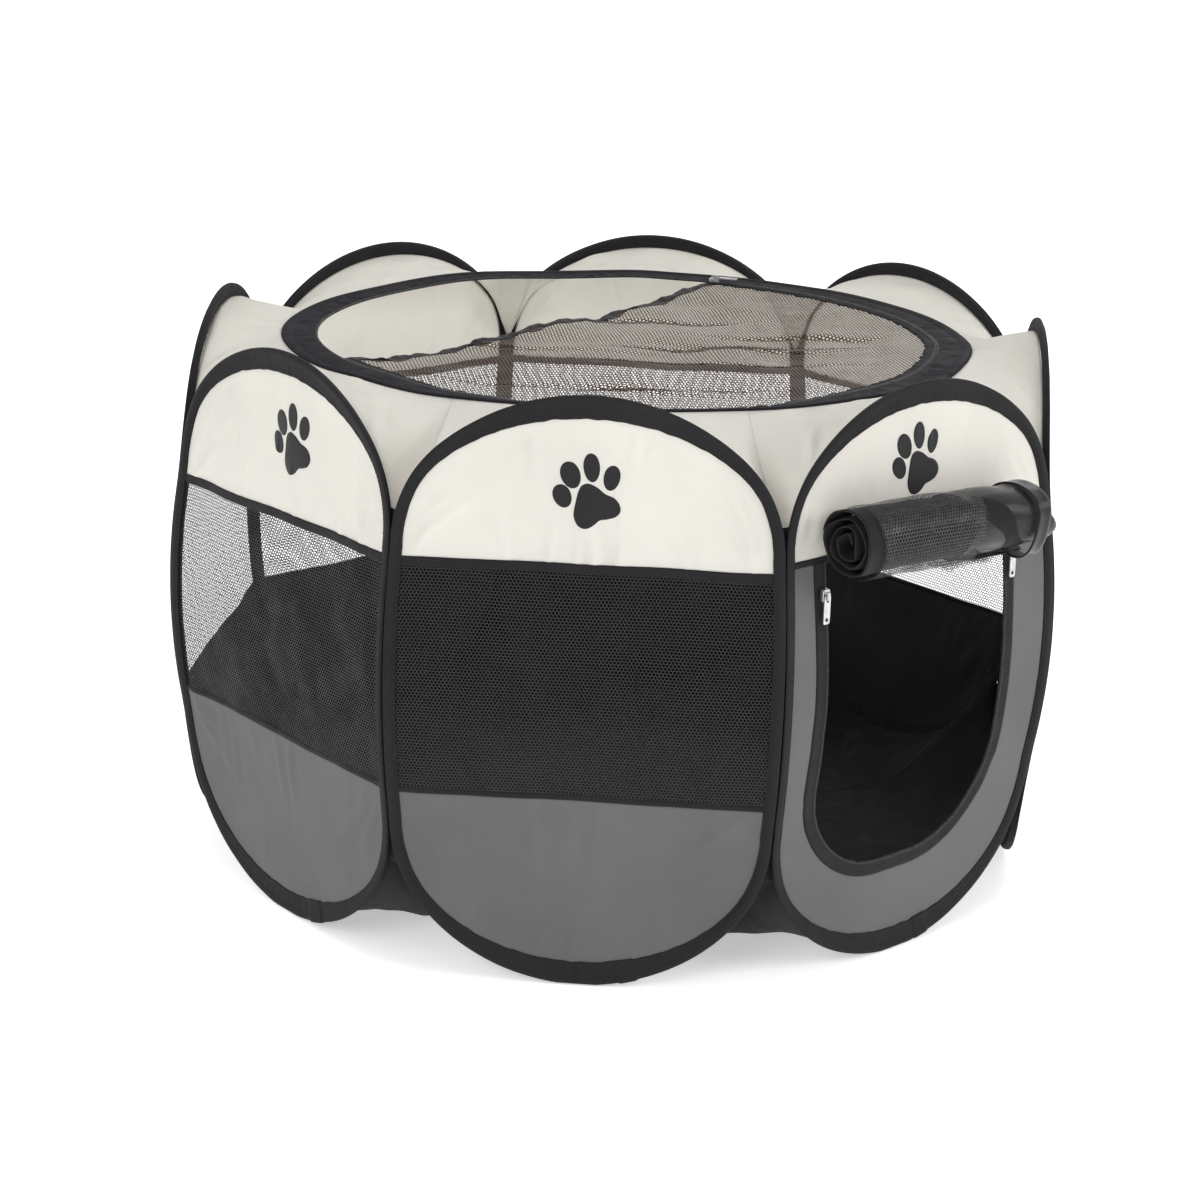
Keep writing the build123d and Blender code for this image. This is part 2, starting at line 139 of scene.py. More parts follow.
def rim_dist(u, z):
    a = np.abs(u)
    side = SR - np.hypot(a - SX, z - SZ)
    lc, lb = R_LC - np.hypot(a - CX_L, z - LOW_Z), R_LB - np.hypot(a, z - Z_LB)
    hc, hb = R_HC - np.hypot(a - CX_H, z - HIGH_Z), R_HB - np.hypot(a, z - Z_HB)
    low = np.where(z - Z_LB > math.tan(ANG_L) * a, lc, lb)
    high = np.where(z - Z_HB < math.tan(ANG_H) * a, hc, hb)
    return np.where(z < LOW_Z, low, np.where(z <= HIGH_Z, side, high))


def arc(cx, cz, r, a0, a1, n):
    t = np.linspace(a0, a1, n, endpoint=False)
    return np.stack([cx + r * np.cos(t), cz + r * np.sin(t)], -1)


def rim(count):
    """Points round the hoop's rim, evenly spaced from its lowest point, with inward normals."""
    s0 = math.atan2(LOW_Z - SZ, 179.353 - SX)
    s1 = math.atan2(HIGH_Z - SZ, 179.353 - SX)
    half = np.concatenate([
        arc(0, Z_LB, R_LB, -math.pi / 2, ANG_L, 900),
        arc(CX_L, LOW_Z, R_LC, ANG_L, 0, 600),
        arc(SX, SZ, SR, s0, s1, 1200),
        arc(CX_H, HIGH_Z, R_HC, 0, ANG_H, 600),
        arc(0, Z_HB, R_HB, ANG_H, math.pi / 2, 900),
        [[0.0, 584.0]],
    ])
    other = half[-2:0:-1] * [-1, 1]
    p = np.concatenate([half, other, half[:1]])
    s = np.concatenate([[0], np.cumsum(np.hypot(*np.diff(p, axis=0).T))])
    q = np.linspace(0, s[-1], count, endpoint=False)
    pts = np.stack([np.interp(q, s, p[:, 0]), np.interp(q, s, p[:, 1])], -1)
    t = np.roll(pts, -1, 0) - np.roll(pts, 1, 0)
    t /= np.linalg.norm(t, axis=1)[:, None]
    for _ in range(3):
        t = (np.roll(t, 1, 0) + t + np.roll(t, -1, 0)) / 3
    t /= np.linalg.norm(t, axis=1)[:, None]
    return pts, np.stack([-t[:, 1], t[:, 0]], -1), t, q, s[-1]


def world(k, u, n, z):
    a = math.radians(45 * (k - 3))
    c, s = math.cos(a), math.sin(a)
    u, n, z = np.broadcast_arrays(np.asarray(u, float), np.asarray(n, float), np.asarray(z, float))
    return np.stack([u * c + n * s, u * s - n * c, z], -1) * 0.001


def step(x):
    x = np.clip(x, 0, 1)
    return x * x * (3 - 2 * x)


def taper(z, top=1.0):
    """How far the binding widens: 0 where two hoops meet, 1 below them and top over the arch."""
    z = np.asarray(z, float)
    return np.clip((z - 495) / 89, 0, 1) ** 1.5 * top + np.clip((105 - z) / 105, 0, 1) ** 1.8


def leg_width(u, z):
    """Width of the binding beside a point of the panel."""
    d = rim_dist(u, z)
    return 8.8 + 15.2 * taper(np.where(z > 300, z + 0.9 * d, z - 0.9 * d), 0.9)


def soft_noise(seed, count, low, high):
    """Smooth noise of unit size in two directions, from seeded sine waves between two wavelengths."""
    g = np.random.default_rng(seed)
    lam = np.exp(g.uniform(math.log(low), math.log(high), count))
    ang, ph = g.uniform(0, 2 * math.pi, count), g.uniform(0, 2 * math.pi, count)
    amp = (lam / high) ** 0.5
    amp /= math.sqrt((amp ** 2).sum() / 2)

    def f(x, y):
        out = np.zeros(np.broadcast(x, y).shape)
        for i in range(count):
            k = 2 * math.pi / lam[i]
            out += amp[i] * np.sin(k * (x * math.cos(ang[i]) + y * math.sin(ang[i])) + ph[i])
        return out
    return f


def ring_noise(seed, orders, amp):
    g = np.random.default_rng(seed)
    ph = g.uniform(0, 2 * math.pi, len(orders))
    am = g.uniform(0.5, 1.0, len(orders)) * amp / math.sqrt(len(orders) / 2)

    def f(t):
        return sum(a * np.sin(o * t + p) for o, a, p in zip(orders, am, ph))
    return f


class Folds:
    """Creases in cloth: each runs along a straight line, with a rounded section that fades at both ends."""

    def __init__(self):
        self.rows = []

    def add(self, u0, z0, u1, z1, amp, width, lead=0.15):
        self.rows.append((u0, z0, u1, z1, amp, width, lead))

    def __call__(self, u, z):
        out = np.zeros(np.broadcast(u, z).shape)
        for u0, z0, u1, z1, amp, width, lead in self.rows:
            du, dz = u1 - u0, z1 - z0
            length = math.hypot(du, dz)
            t = ((u - u0) * du + (z - z0) * dz) / length ** 2
            d = ((u - u0) * dz - (z - z0) * du) / length
            w = width * (0.7 + 0.8 * np.clip(t, 0, 1))
            along = step(t / lead) * step((1 - t) / 0.6)
            out += amp * np.exp(-(d / w) ** 2) * along - 0.35 * amp * np.exp(-(d / (2.2 * w)) ** 2) * along
        return out


def panel_folds(k, part):
    g = np.random.default_rng(100 * k + {"upper": 1, "lower": 2, "window": 3}[part])
    f = Folds()
    if part == "upper":
        seam = DOOR_SEAM if k == 3 else SEAM_HIGH
        for _ in range(9):
            u = g.uniform(-150, 160)
            f.add(u, seam - 8, u + g.uniform(-26, 10) - 0.10 * u, seam + g.uniform(45, 110), g.uniform(0.7, 1.7), g.uniform(3.0, 5.5))
        for s in (-1, 1):
            for j in range(4):
                a = math.radians(g.uniform(35, 88))
                length = g.uniform(70, 135)
                f.add(s * 166, seam - 4 + 10 * j, s * (166 - length * math.cos(a)), seam + 6 * j + length * math.sin(a), g.uniform(1.0, 2.4), g.uniform(4.0, 7.5))
        for _ in range(5):
            a = math.radians(g.uniform(25, 155))
            u, z = 190 * math.cos(a), 375 + 182 * math.sin(a)
            f.add(u, z, u - g.uniform(40, 75) * math.cos(a), z - g.uniform(40, 75) * math.sin(a), g.uniform(0.6, 1.3), g.uniform(3.5, 6))
    elif part == "lower":
        for _ in range(8):
            u = g.uniform(-150, 150)
            f.add(u, SEAM_LOW + 8, u * 0.82 + g.uniform(-14, 14), SEAM_LOW - g.uniform(55, 140), g.uniform(0.7, 1.8), g.uniform(4, 8))
        for s in (-1, 1):
            for j in range(3):
                a = math.radians(g.uniform(15, 75))
                length = g.uniform(80, 150)
                f.add(s * 168, SEAM_LOW + 2 - 12 * j, s * (168 - length * math.cos(a)), SEAM_LOW - 8 * j - length * math.sin(a), g.uniform(1.0, 2.3), g.uniform(5, 9))
        for _ in range(6):
            a = math.radians(g.uniform(200, 340))
            u, z = 165 * math.cos(a), 178 + 165 * math.sin(a)
            f.add(u, z, u - g.uniform(35, 70) * math.cos(a), z - g.uniform(35, 70) * math.sin(a), g.uniform(0.6, 1.4), g.uniform(3.5, 6))
    return f


WAVE = {k: soft_noise(11 + k, 7, 90, 260) for k in PANELS}
FINE = {k: soft_noise(31 + k, 9, 26, 70) for k in PANELS}
FOLD = {(k, p): panel_folds(k, p) for k in PANELS for p in ("upper", "lower", "window")}


def cloth_off(k, part, u, z):
    """How far the cloth stands out from the panel's middle surface."""
    seam_z = {"upper": DOOR_SEAM if k == 3 else SEAM_HIGH, "lower": DOOR_SEAM if k == 3 else SEAM_LOW, "window": 0}[part]
    base = 1.1 * WAVE[k](u, z) + 0.22 * FINE[k](u, z)
    more = FOLD[k, part](u, z) * {"upper": 1.3 if k == 3 else 2.0, "lower": 1.2, "window": 1.0}[part]
    if part != "window":
        more = more * (0.25 + 0.75 * step(np.abs(z - seam_z) / 10))
    if part == "lower" and k == 3:
        more = more * 0.4
        base = base * 0.6
    return (base + more) * step((rim_dist(u, z) - leg_width(u, z)) / 20)


def cloth_n(k, part, u, z, off=0.0):
    return bulge_n(z) + cloth_off(k, part, u, z) + off


# ------------------------------------------------------------------ meshes
def link(name, verts, faces, mats, mat_idx=None, uv=None, smooth=True):
    """Mesh object from arrays; faces is a list of (F, 3) or (F, 4) arrays, mat_idx one array for each."""
    faces = [np.asarray(f, np.int64) for f in faces if len(f)]
    me = bpy.data.meshes.new(name)
    me.vertices.add(len(verts))
    me.vertices.foreach_set("co", np.asarray(verts, np.float32).ravel())
    loops = np.concatenate([f.ravel() for f in faces])
    sizes = np.concatenate([np.full(len(f), f.shape[1]) for f in faces])
    me.loops.add(len(loops))
    me.loops.foreach_set("vertex_index", loops.astype(np.int32))
    me.polygons.add(len(sizes))
    me.polygons.foreach_set("loop_start", np.concatenate([[0], np.cumsum(sizes)[:-1]]).astype(np.int32))
    me.polygons.foreach_set("loop_total", sizes.astype(np.int32))
    if uv is not None:
        layer = me.uv_layers.new(name="UVMap")
        layer.data.foreach_set("uv", np.asarray(uv, np.float32)[loops].ravel())
    for m in mats:
        me.materials.append(m)
    if mat_idx is not None:
        me.polygons.foreach_set("material_index", np.concatenate([np.broadcast_to(i, len(f)) for i, f in zip(mat_idx, faces)]).astype(np.int32))
    me.polygons.foreach_set("use_smooth", np.full(len(sizes), smooth))
    me.update(calc_edges=True)
    me.validate()
    o = bpy.data.objects.new(name, me)
    bpy.context.scene.collection.objects.link(o)
    return o


def grid_quads(rows, cols, offset=0, wrap=False):
    j = np.arange(cols if wrap else cols - 1)
    i = np.arange(rows - 1)
    a = i[:, None] * cols + j[None]
    b = i[:, None] * cols + (j[None] + 1) % cols
    return np.stack([a, b, b + cols, a + cols], -1).reshape(-1, 4) + offset


def border_loop(rows, cols):
    top = list(range(cols))
    right = [r * cols + cols - 1 for r in range(1, rows)]
    bottom = [(rows - 1) * cols + c for c in range(cols - 2, -1, -1)]
    left = [r * cols for r in range(rows - 2, 0, -1)]
    return np.array(top + right + bottom + left)


def sheet_mesh(name, front, back, mats, uv, back_mat=0):
    """Closed thin sheet between two grids of points, front being the outer face."""
    rows, cols = front.shape[:2]
    m = rows * cols
    v = np.concatenate([front.reshape(-1, 3), back.reshape(-1, 3)])
    q = grid_quads(rows, cols)
    f = front.reshape(-1, 3)
    nrm = np.cross(f[q[:, 1]] - f[q[:, 0]], f[q[:, 3]] - f[q[:, 0]]).reshape(-1, 3)
    out = (front - back).reshape(-1, 3)[q[:, 0]]
    flip = (nrm * out).sum() < 0
    if flip:
        q = q[:, ::-1]
    edge = border_loop(rows, cols)
    nxt = np.roll(edge, -1)
    rimq = np.stack([edge, edge + m, nxt + m, nxt], -1)
    if flip:
        rimq = rimq[:, ::-1]
    uv = uv.reshape(-1, 2)
    return link(name, v, [q, q[:, ::-1] + m, rimq], mats, [0, back_mat, 0], np.concatenate([uv, uv]))


def hex_net(pitch, strand, inside, box):
    """Points and quads of a net with six-sided holes, in a flat plane, and the cells that inside() keeps."""
    u0, u1, v0, v1 = box
    dv = pitch * math.sqrt(3) / 2
    rows, cols = int((v1 - v0) / dv) + 2, int((u1 - u0) / pitch) + 2
    j, i = np.meshgrid(np.arange(rows), np.arange(cols), indexing="ij")
    c = np.stack([u0 + (i + 0.5 * (j % 2)) * pitch, v0 + j * dv], -1).reshape(-1, 2)
    c = c[inside(c[:, 0], c[:, 1])]
    r = pitch / math.sqrt(3)
    t = np.radians(30 + 60 * np.arange(6))
    d = np.stack([np.cos(t), np.sin(t)], -1)
    outer = c[:, None] + r * d
    inner = c[:, None] + r * (pitch - strand) / pitch * d
    key = np.round(outer.reshape(-1, 2) * 20).astype(np.int64)
    key = key[:, 0] * 1000003 + key[:, 1]
    _, first, inv = np.unique(key, return_index=True, return_inverse=True)
    shared = outer.reshape(-1, 2)[first]
    inv = inv.reshape(-1, 6)
    k = len(shared) + np.arange(len(c) * 6).reshape(-1, 6)
    q = np.stack([inv, np.roll(inv, -1, 1), np.roll(k, -1, 1), k], -1).reshape(-1, 4)
    return np.concatenate([shared, inner.reshape(-1, 2)]), q


# ------------------------------------------------------------------ materials
class Nodes:
    def __init__(self, name):
        self.mat = bpy.data.materials.new(name)
        self.mat.use_nodes = True
        self.t = self.mat.node_tree
        self.bsdf = next(n for n in self.t.nodes if n.type == "BSDF_PRINCIPLED")

    def new(self, kind, **props):
        n = self.t.nodes.new(kind)
        for a, v in props.items():
            setattr(n, a, v)
        return n

    def put(self, source, target):
        self.t.links.new(source, target)

    def math(self, op, a, b=None):
        n = self.new("ShaderNodeMath", operation=op)
        for i, v in enumerate((a, b)):
            if v is None:
                continue
            if isinstance(v, (int, float)):
                n.inputs[i].default_value = v
            else:
                self.put(v, n.inputs[i])
        return n.outputs[0]

    def noise(self, coord, scale, detail=3.0, rough=0.55):
        n = self.new("ShaderNodeTexNoise")
        n.inputs["Scale"].default_value = scale
        n.inputs["Detail"].default_value = detail
        n.inputs["Roughness"].default_value = rough
        self.put(coord, n.inputs["Vector"])
        return n.outputs["Fac"]

    def ramp(self, fac, stops):
        n = self.new("ShaderNodeValToRGB")
        el = n.color_ramp.elements
        while len(el) < len(stops):
            el.new(0.5)
        for e, (p, c) in zip(el, stops):
            e.position = p
            e.color = (*c, 1) if len(c) == 3 else c
        self.put(fac, n.inputs[0])
        return n.outputs[0]

    def span(self, fac, a, b, lo, hi):
        n = self.new("ShaderNodeMapRange")
        n.inputs["From Min"].default_value = a
        n.inputs["From Max"].default_value = b
        n.inputs["To Min"].default_value = lo
        n.inputs["To Max"].default_value = hi
        self.put(fac, n.inputs["Value"])
        return n.outputs[0]

    def mix(self, fac, a, b, mode="MIX"):
        n = self.new("ShaderNodeMix", data_type="RGBA", blend_type=mode)
        for i, v in ((0, fac), (6, a), (7, b)):
            if isinstance(v, (int, float)):
                n.inputs[i].default_value = v
            elif isinstance(v, tuple):
                n.inputs[i].default_value = (*v, 1)
            else:
                self.put(v, n.inputs[i])
        return n.outputs[2]


def cloth_material(name, colour, thread_mm=0.62, vary=0.10, rough=(0.80, 0.95), sheen=0.25, bump=0.55, weave_tone=0.10, ribbed=False, tint=None, glow=0.0, spec=0.16):
    """Woven cloth: plain weave on the piece's own metres, uneven dye, slight soiling and a soft sheen."""
    m = Nodes(name)
    uv = m.new("ShaderNodeUVMap").outputs[0]
    obj = m.new("ShaderNodeTexCoord").outputs["Object"]
    sep = m.new("ShaderNodeSeparateXYZ")
    m.put(uv, sep.inputs[0])
    k = math.pi / (thread_mm * 0.001)
    su = m.math("SINE", m.math("MULTIPLY", sep.outputs[0], k))
    sv = m.math("SINE", m.math("MULTIPLY", sep.outputs[1], k))
    weave = m.math("MULTIPLY", su, sv)
    if ribbed:
        weave = m.math("SINE", m.math("MULTIPLY", m.math("ADD", sep.outputs[0], m.math("MULTIPLY", sep.outputs[1], 0.35)), k))
    slub = m.noise(obj, 420.0, 2.0)
    height = m.math("ADD", m.math("MULTIPLY", weave, 0.5), m.math("MULTIPLY", slub, 0.7))
    large = m.noise(obj, 5.5, 4.0)
    mid = m.noise(obj, 42.0, 3.0)
    dark = tuple(c * (1 - vary) for c in colour)
    light = tuple(min(1.0, c * (1 + vary * 0.6)) for c in colour)
    col = m.ramp(large, [(0.30, dark), (0.70, light)])
    grain = m.span(weave, -1, 1, 1 - weave_tone, 1.0)
    speck = m.span(mid, 0.3, 0.7, 1 - vary * 0.5, 1.0)
    both = m.math("MULTIPLY", grain, speck)
    grey = m.new("ShaderNodeCombineXYZ")
    for i in range(3):
        m.put(both, grey.inputs[i])
    col = m.mix(1.0, col, grey.outputs[0], "MULTIPLY")
    if tint:
        col = m.mix(m.span(mid, 0.45, 0.75, 0.0, 0.35), col, tint)
    m.put(col, m.bsdf.inputs["Base Color"])
    m.put(m.span(mid, 0.3, 0.7, *rough), m.bsdf.inputs["Roughness"])
    b = m.new("ShaderNodeBump")
    b.inputs["Strength"].default_value = bump
    b.inputs["Distance"].default_value = 0.0003
    m.put(height, b.inputs["Height"])
    m.put(b.outputs[0], m.bsdf.inputs["Normal"])
    m.bsdf.inputs["Sheen Weight"].default_value = sheen
    m.bsdf.inputs["Sheen Roughness"].default_value = 0.5
    m.bsdf.inputs["Specular IOR Level"].default_value = spec
    if glow:
        # thin cloth lets part of the light through
        through = m.new("ShaderNodeBsdfTranslucent")
        m.put(col, through.inputs["Color"])
        m.put(b.outputs[0], through.inputs["Normal"])
        mix = m.new("ShaderNodeMixShader")
        mix.inputs[0].default_value = glow
        out = next(n for n in m.t.nodes if n.type == "OUTPUT_MATERIAL")
        m.put(m.bsdf.outputs[0], mix.inputs[1])
        m.put(through.outputs[0], mix.inputs[2])
        m.put(mix.outputs[0], out.inputs["Surface"])
    return m.mat


def net_material(name, dark, light, rough=0.5, scale=240.0):
    m = Nodes(name)
    obj = m.new("ShaderNodeTexCoord").outputs["Object"]
    n = m.noise(obj, scale, 3.0)
    col = m.ramp(n, [(0.32, dark), (0.72, light)])
    m.put(col, m.bsdf.inputs["Base Color"])
    m.put(m.span(m.noise(obj, 35.0), 0.3, 0.7, rough - 0.1, rough + 0.15), m.bsdf.inputs["Roughness"])
    b = m.new("ShaderNodeBump")
    b.inputs["Strength"].default_value = 0.5
    b.inputs["Distance"].default_value = 0.0002
    m.put(n, b.inputs["Height"])
    m.put(b.outputs[0], m.bsdf.inputs["Normal"])
    m.bsdf.inputs["Sheen Weight"].default_value = 0.03
    m.bsdf.inputs["Specular IOR Level"].default_value = 0.35
    return m.mat


def metal_material(name, colour, rough=(0.22, 0.48), scratch=900.0):
    m = Nodes(name)
    obj = m.new("ShaderNodeTexCoord").outputs["Object"]
    wear = m.noise(obj, 160.0, 5.0, 0.65)
    fine = m.noise(obj, scratch, 3.0, 0.7)
    col = m.ramp(wear, [(0.28, tuple(c * 0.62 for c in colour)), (0.62, colour), (0.85, tuple(min(1, c * 1.18) for c in colour))])
    m.put(col, m.bsdf.inputs["Base Color"])
    m.bsdf.inputs["Metallic"].default_value = 1.0
    m.put(m.span(fine, 0.3, 0.7, *rough), m.bsdf.inputs["Roughness"])
    b = m.new("ShaderNodeBump")
    b.inputs["Strength"].default_value = 0.25
    b.inputs["Distance"].default_value = 0.0002
    m.put(m.math("ADD", wear, m.math("MULTIPLY", fine, 0.5)), b.inputs["Height"])
    m.put(b.outputs[0], m.bsdf.inputs["Normal"])
    return m.mat


def floor_material():
    m = Nodes("stage_floor")
    obj = m.new("ShaderNodeTexCoord").outputs["Object"]
    m.put(m.ramp(m.noise(obj, 0.8, 2.0), [(0.3, (0.93, 0.93, 0.93)), (0.7, (0.96, 0.96, 0.96))]), m.bsdf.inputs["Base Color"])
    m.bsdf.inputs["Roughness"].default_value = 0.9
    m.bsdf.inputs["Specular IOR Level"].default_value = 0.0
    m.bsdf.inputs["Emission Color"].default_value = (1, 1, 1, 1)
    m.bsdf.inputs["Emission Strength"].default_value = 0.46
    return m.mat


M_CREAM = cloth_material("cream_polyester", (0.955, 0.938, 0.893), vary=0.03, sheen=0.03, weave_tone=0.04, bump=0.45, glow=0.52)
M_GREY = cloth_material("grey_polyester", (0.136, 0.136, 0.137), thread_mm=0.7, vary=0.12, sheen=0.10, weave_tone=0.18, bump=0.6)
# near-black inner face of the lower cloths and the door surround
M_BACKING = cloth_material("lower_cloth_inner_black", (0.026, 0.026, 0.026), vary=0.25, rough=(0.6, 0.8), sheen=0.04, weave_tone=0.15, bump=0.5)
M_FLOOR = cloth_material("floor_polyester", (0.0165, 0.0165, 0.0170), thread_mm=0.9, vary=0.25, rough=(0.65, 0.85), sheen=0.04, weave_tone=0.2, bump=0.7)
M_BIND = cloth_material("binding_tape", (0.0205, 0.0203, 0.0218), thread_mm=0.9, vary=0.16, rough=(0.68, 0.86), sheen=0.04, weave_tone=0.22, bump=0.8, ribbed=True, spec=0.12)
M_TAPE = cloth_material("zip_tape_weave", (0.0145, 0.0142, 0.0160), thread_mm=0.8, vary=0.22, rough=(0.6, 0.8), sheen=0.05, weave_tone=0.22, bump=0.7, ribbed=True)
M_RING = cloth_material("ring_satin", (0.0190, 0.0175, 0.0225), thread_mm=0.8, vary=0.35, rough=(0.62, 0.8), sheen=0.0, weave_tone=0.2, bump=0.5, ribbed=True, spec=0.08)
M_STITCH = cloth_material("sewing_thread", (0.034, 0.034, 0.036), thread_mm=0.35, vary=0.2, rough=(0.6, 0.75), sheen=0.08, weave_tone=0.25, bump=0.8, ribbed=True)
# white colour for the three small dots on the ring band
M_WHITE = cloth_material("ring_dot_white", (0.72, 0.72, 0.70), thread_mm=0.35, vary=0.1, rough=(0.5, 0.7), sheen=0.2, weave_tone=0.2, bump=0.8, ribbed=True)
M_PAW = cloth_material("paw_print_ink", (0.019, 0.019, 0.020), thread_mm=0.62, vary=0.15, rough=(0.5, 0.7), sheen=0.1, weave_tone=0.2, bump=0.5)
M_STRAP = cloth_material("strap_satin", (0.010, 0.010, 0.011), thread_mm=0.7, vary=0.3, rough=(0.14, 0.3), sheen=0.2, weave_tone=0.2, bump=0.35, ribbed=True)
M_ROLL = cloth_material("rolled_netting_edge", (0.0095, 0.0095, 0.0100), thread_mm=1.6, vary=0.35, rough=(0.6, 0.8), sheen=0.05, weave_tone=0.5, bump=1.0)
M_NET = net_material("window_netting", (0.0080, 0.0080, 0.0090), (0.0170, 0.0170, 0.0190))
# cover netting strands tinted brown: painted shade, standing in for the shaded cream cloth seen through the near-black
# netting
M_COVER = net_material("cover_netting", (0.034, 0.017, 0.0075), (0.080, 0.042, 0.020), rough=0.6)
# door netting strands lighter grey than the window netting: painted highlight for the glints along the rolled strands,
# on black netting
M_ROLLNET = net_material("door_netting", (0.014, 0.014, 0.015), (0.060, 0.060, 0.066), rough=0.42)
M_COIL = net_material("zip_coil_nylon", (0.012, 0.012, 0.013), (0.045, 0.045, 0.050), rough=0.3, scale=500.0)
M_METAL = metal_material("nickel_plating", (0.60, 0.60, 0.62))
M_STEEL = metal_material("spring_steel_strip", (0.42, 0.43, 0.45), rough=(0.3, 0.55))


# ------------------------------------------------------------------ binding
OUT_WIDE = [(0.30, 0.0), (0.55, 1.5), (1.5, 2.85), (3.0, 3.55), (4.6, 3.75), (6.4, 3.35), (8.2, 2.55), (10.5, 2.1), (13.5, 1.95), (16.5, 1.85),
            (18.3, 1.7), (19.3, 1.2), (20.3, 1.65), (22.0, 1.8), (23.4, 1.65), (24.0, 1.15), (24.15, 0.45)]
OUT_SLIM = [(0.30, 0.0), (-1.3, 1.2), (-2.6, 2.5), (-1.9, 3.55), (-0.2, 3.85), (1.9, 3.85), (3.7, 3.6), (5.0, 3.2), (5.9, 2.8), (6.6, 2.45),
            (7.1, 2.2), (7.5, 1.8), (7.8, 2.0), (8.15, 1.85), (8.5, 1.55), (8.75, 1.1), (8.8, 0.45)]
IN_SLIM = [(0.55, 1.5), (0.9, 2.6), (1.9, 3.35), (3.0, 3.65), (4.2, 3.7), (5.0, 3.5), (5.6, 3.2), (6.1, 2.8), (6.4, 2.4),
           (6.6, 2.05), (6.75, 1.7), (6.85, 1.45), (6.95, 1.2), (7.0, 0.95), (7.05, 0.7), (7.1, 0.45)]
WIDE = np.array(OUT_WIDE + [(i, -t) for i, t in OUT_WIDE[:0:-1]])
SLIM = np.array(OUT_SLIM + [(i, -t) for i, t in IN_SLIM[::-1]])
LEG = np.array([0.0] * 17 + [1.0] * 16)


def section(z):
    """Binding sections at rim heights z: rows of inset and stand-off, outer leg first."""
    z = np.asarray(z, float)
    f = np.where(LEG[None] > 0, taper(z, 0.55)[:, None], taper(z, 0.9)[:, None])
    return SLIM[None, :, 0] * (1 - f) + WIDE[None, :, 0] * f, SLIM[None, :, 1] * (1 - f) + WIDE[None, :, 1] * f, f


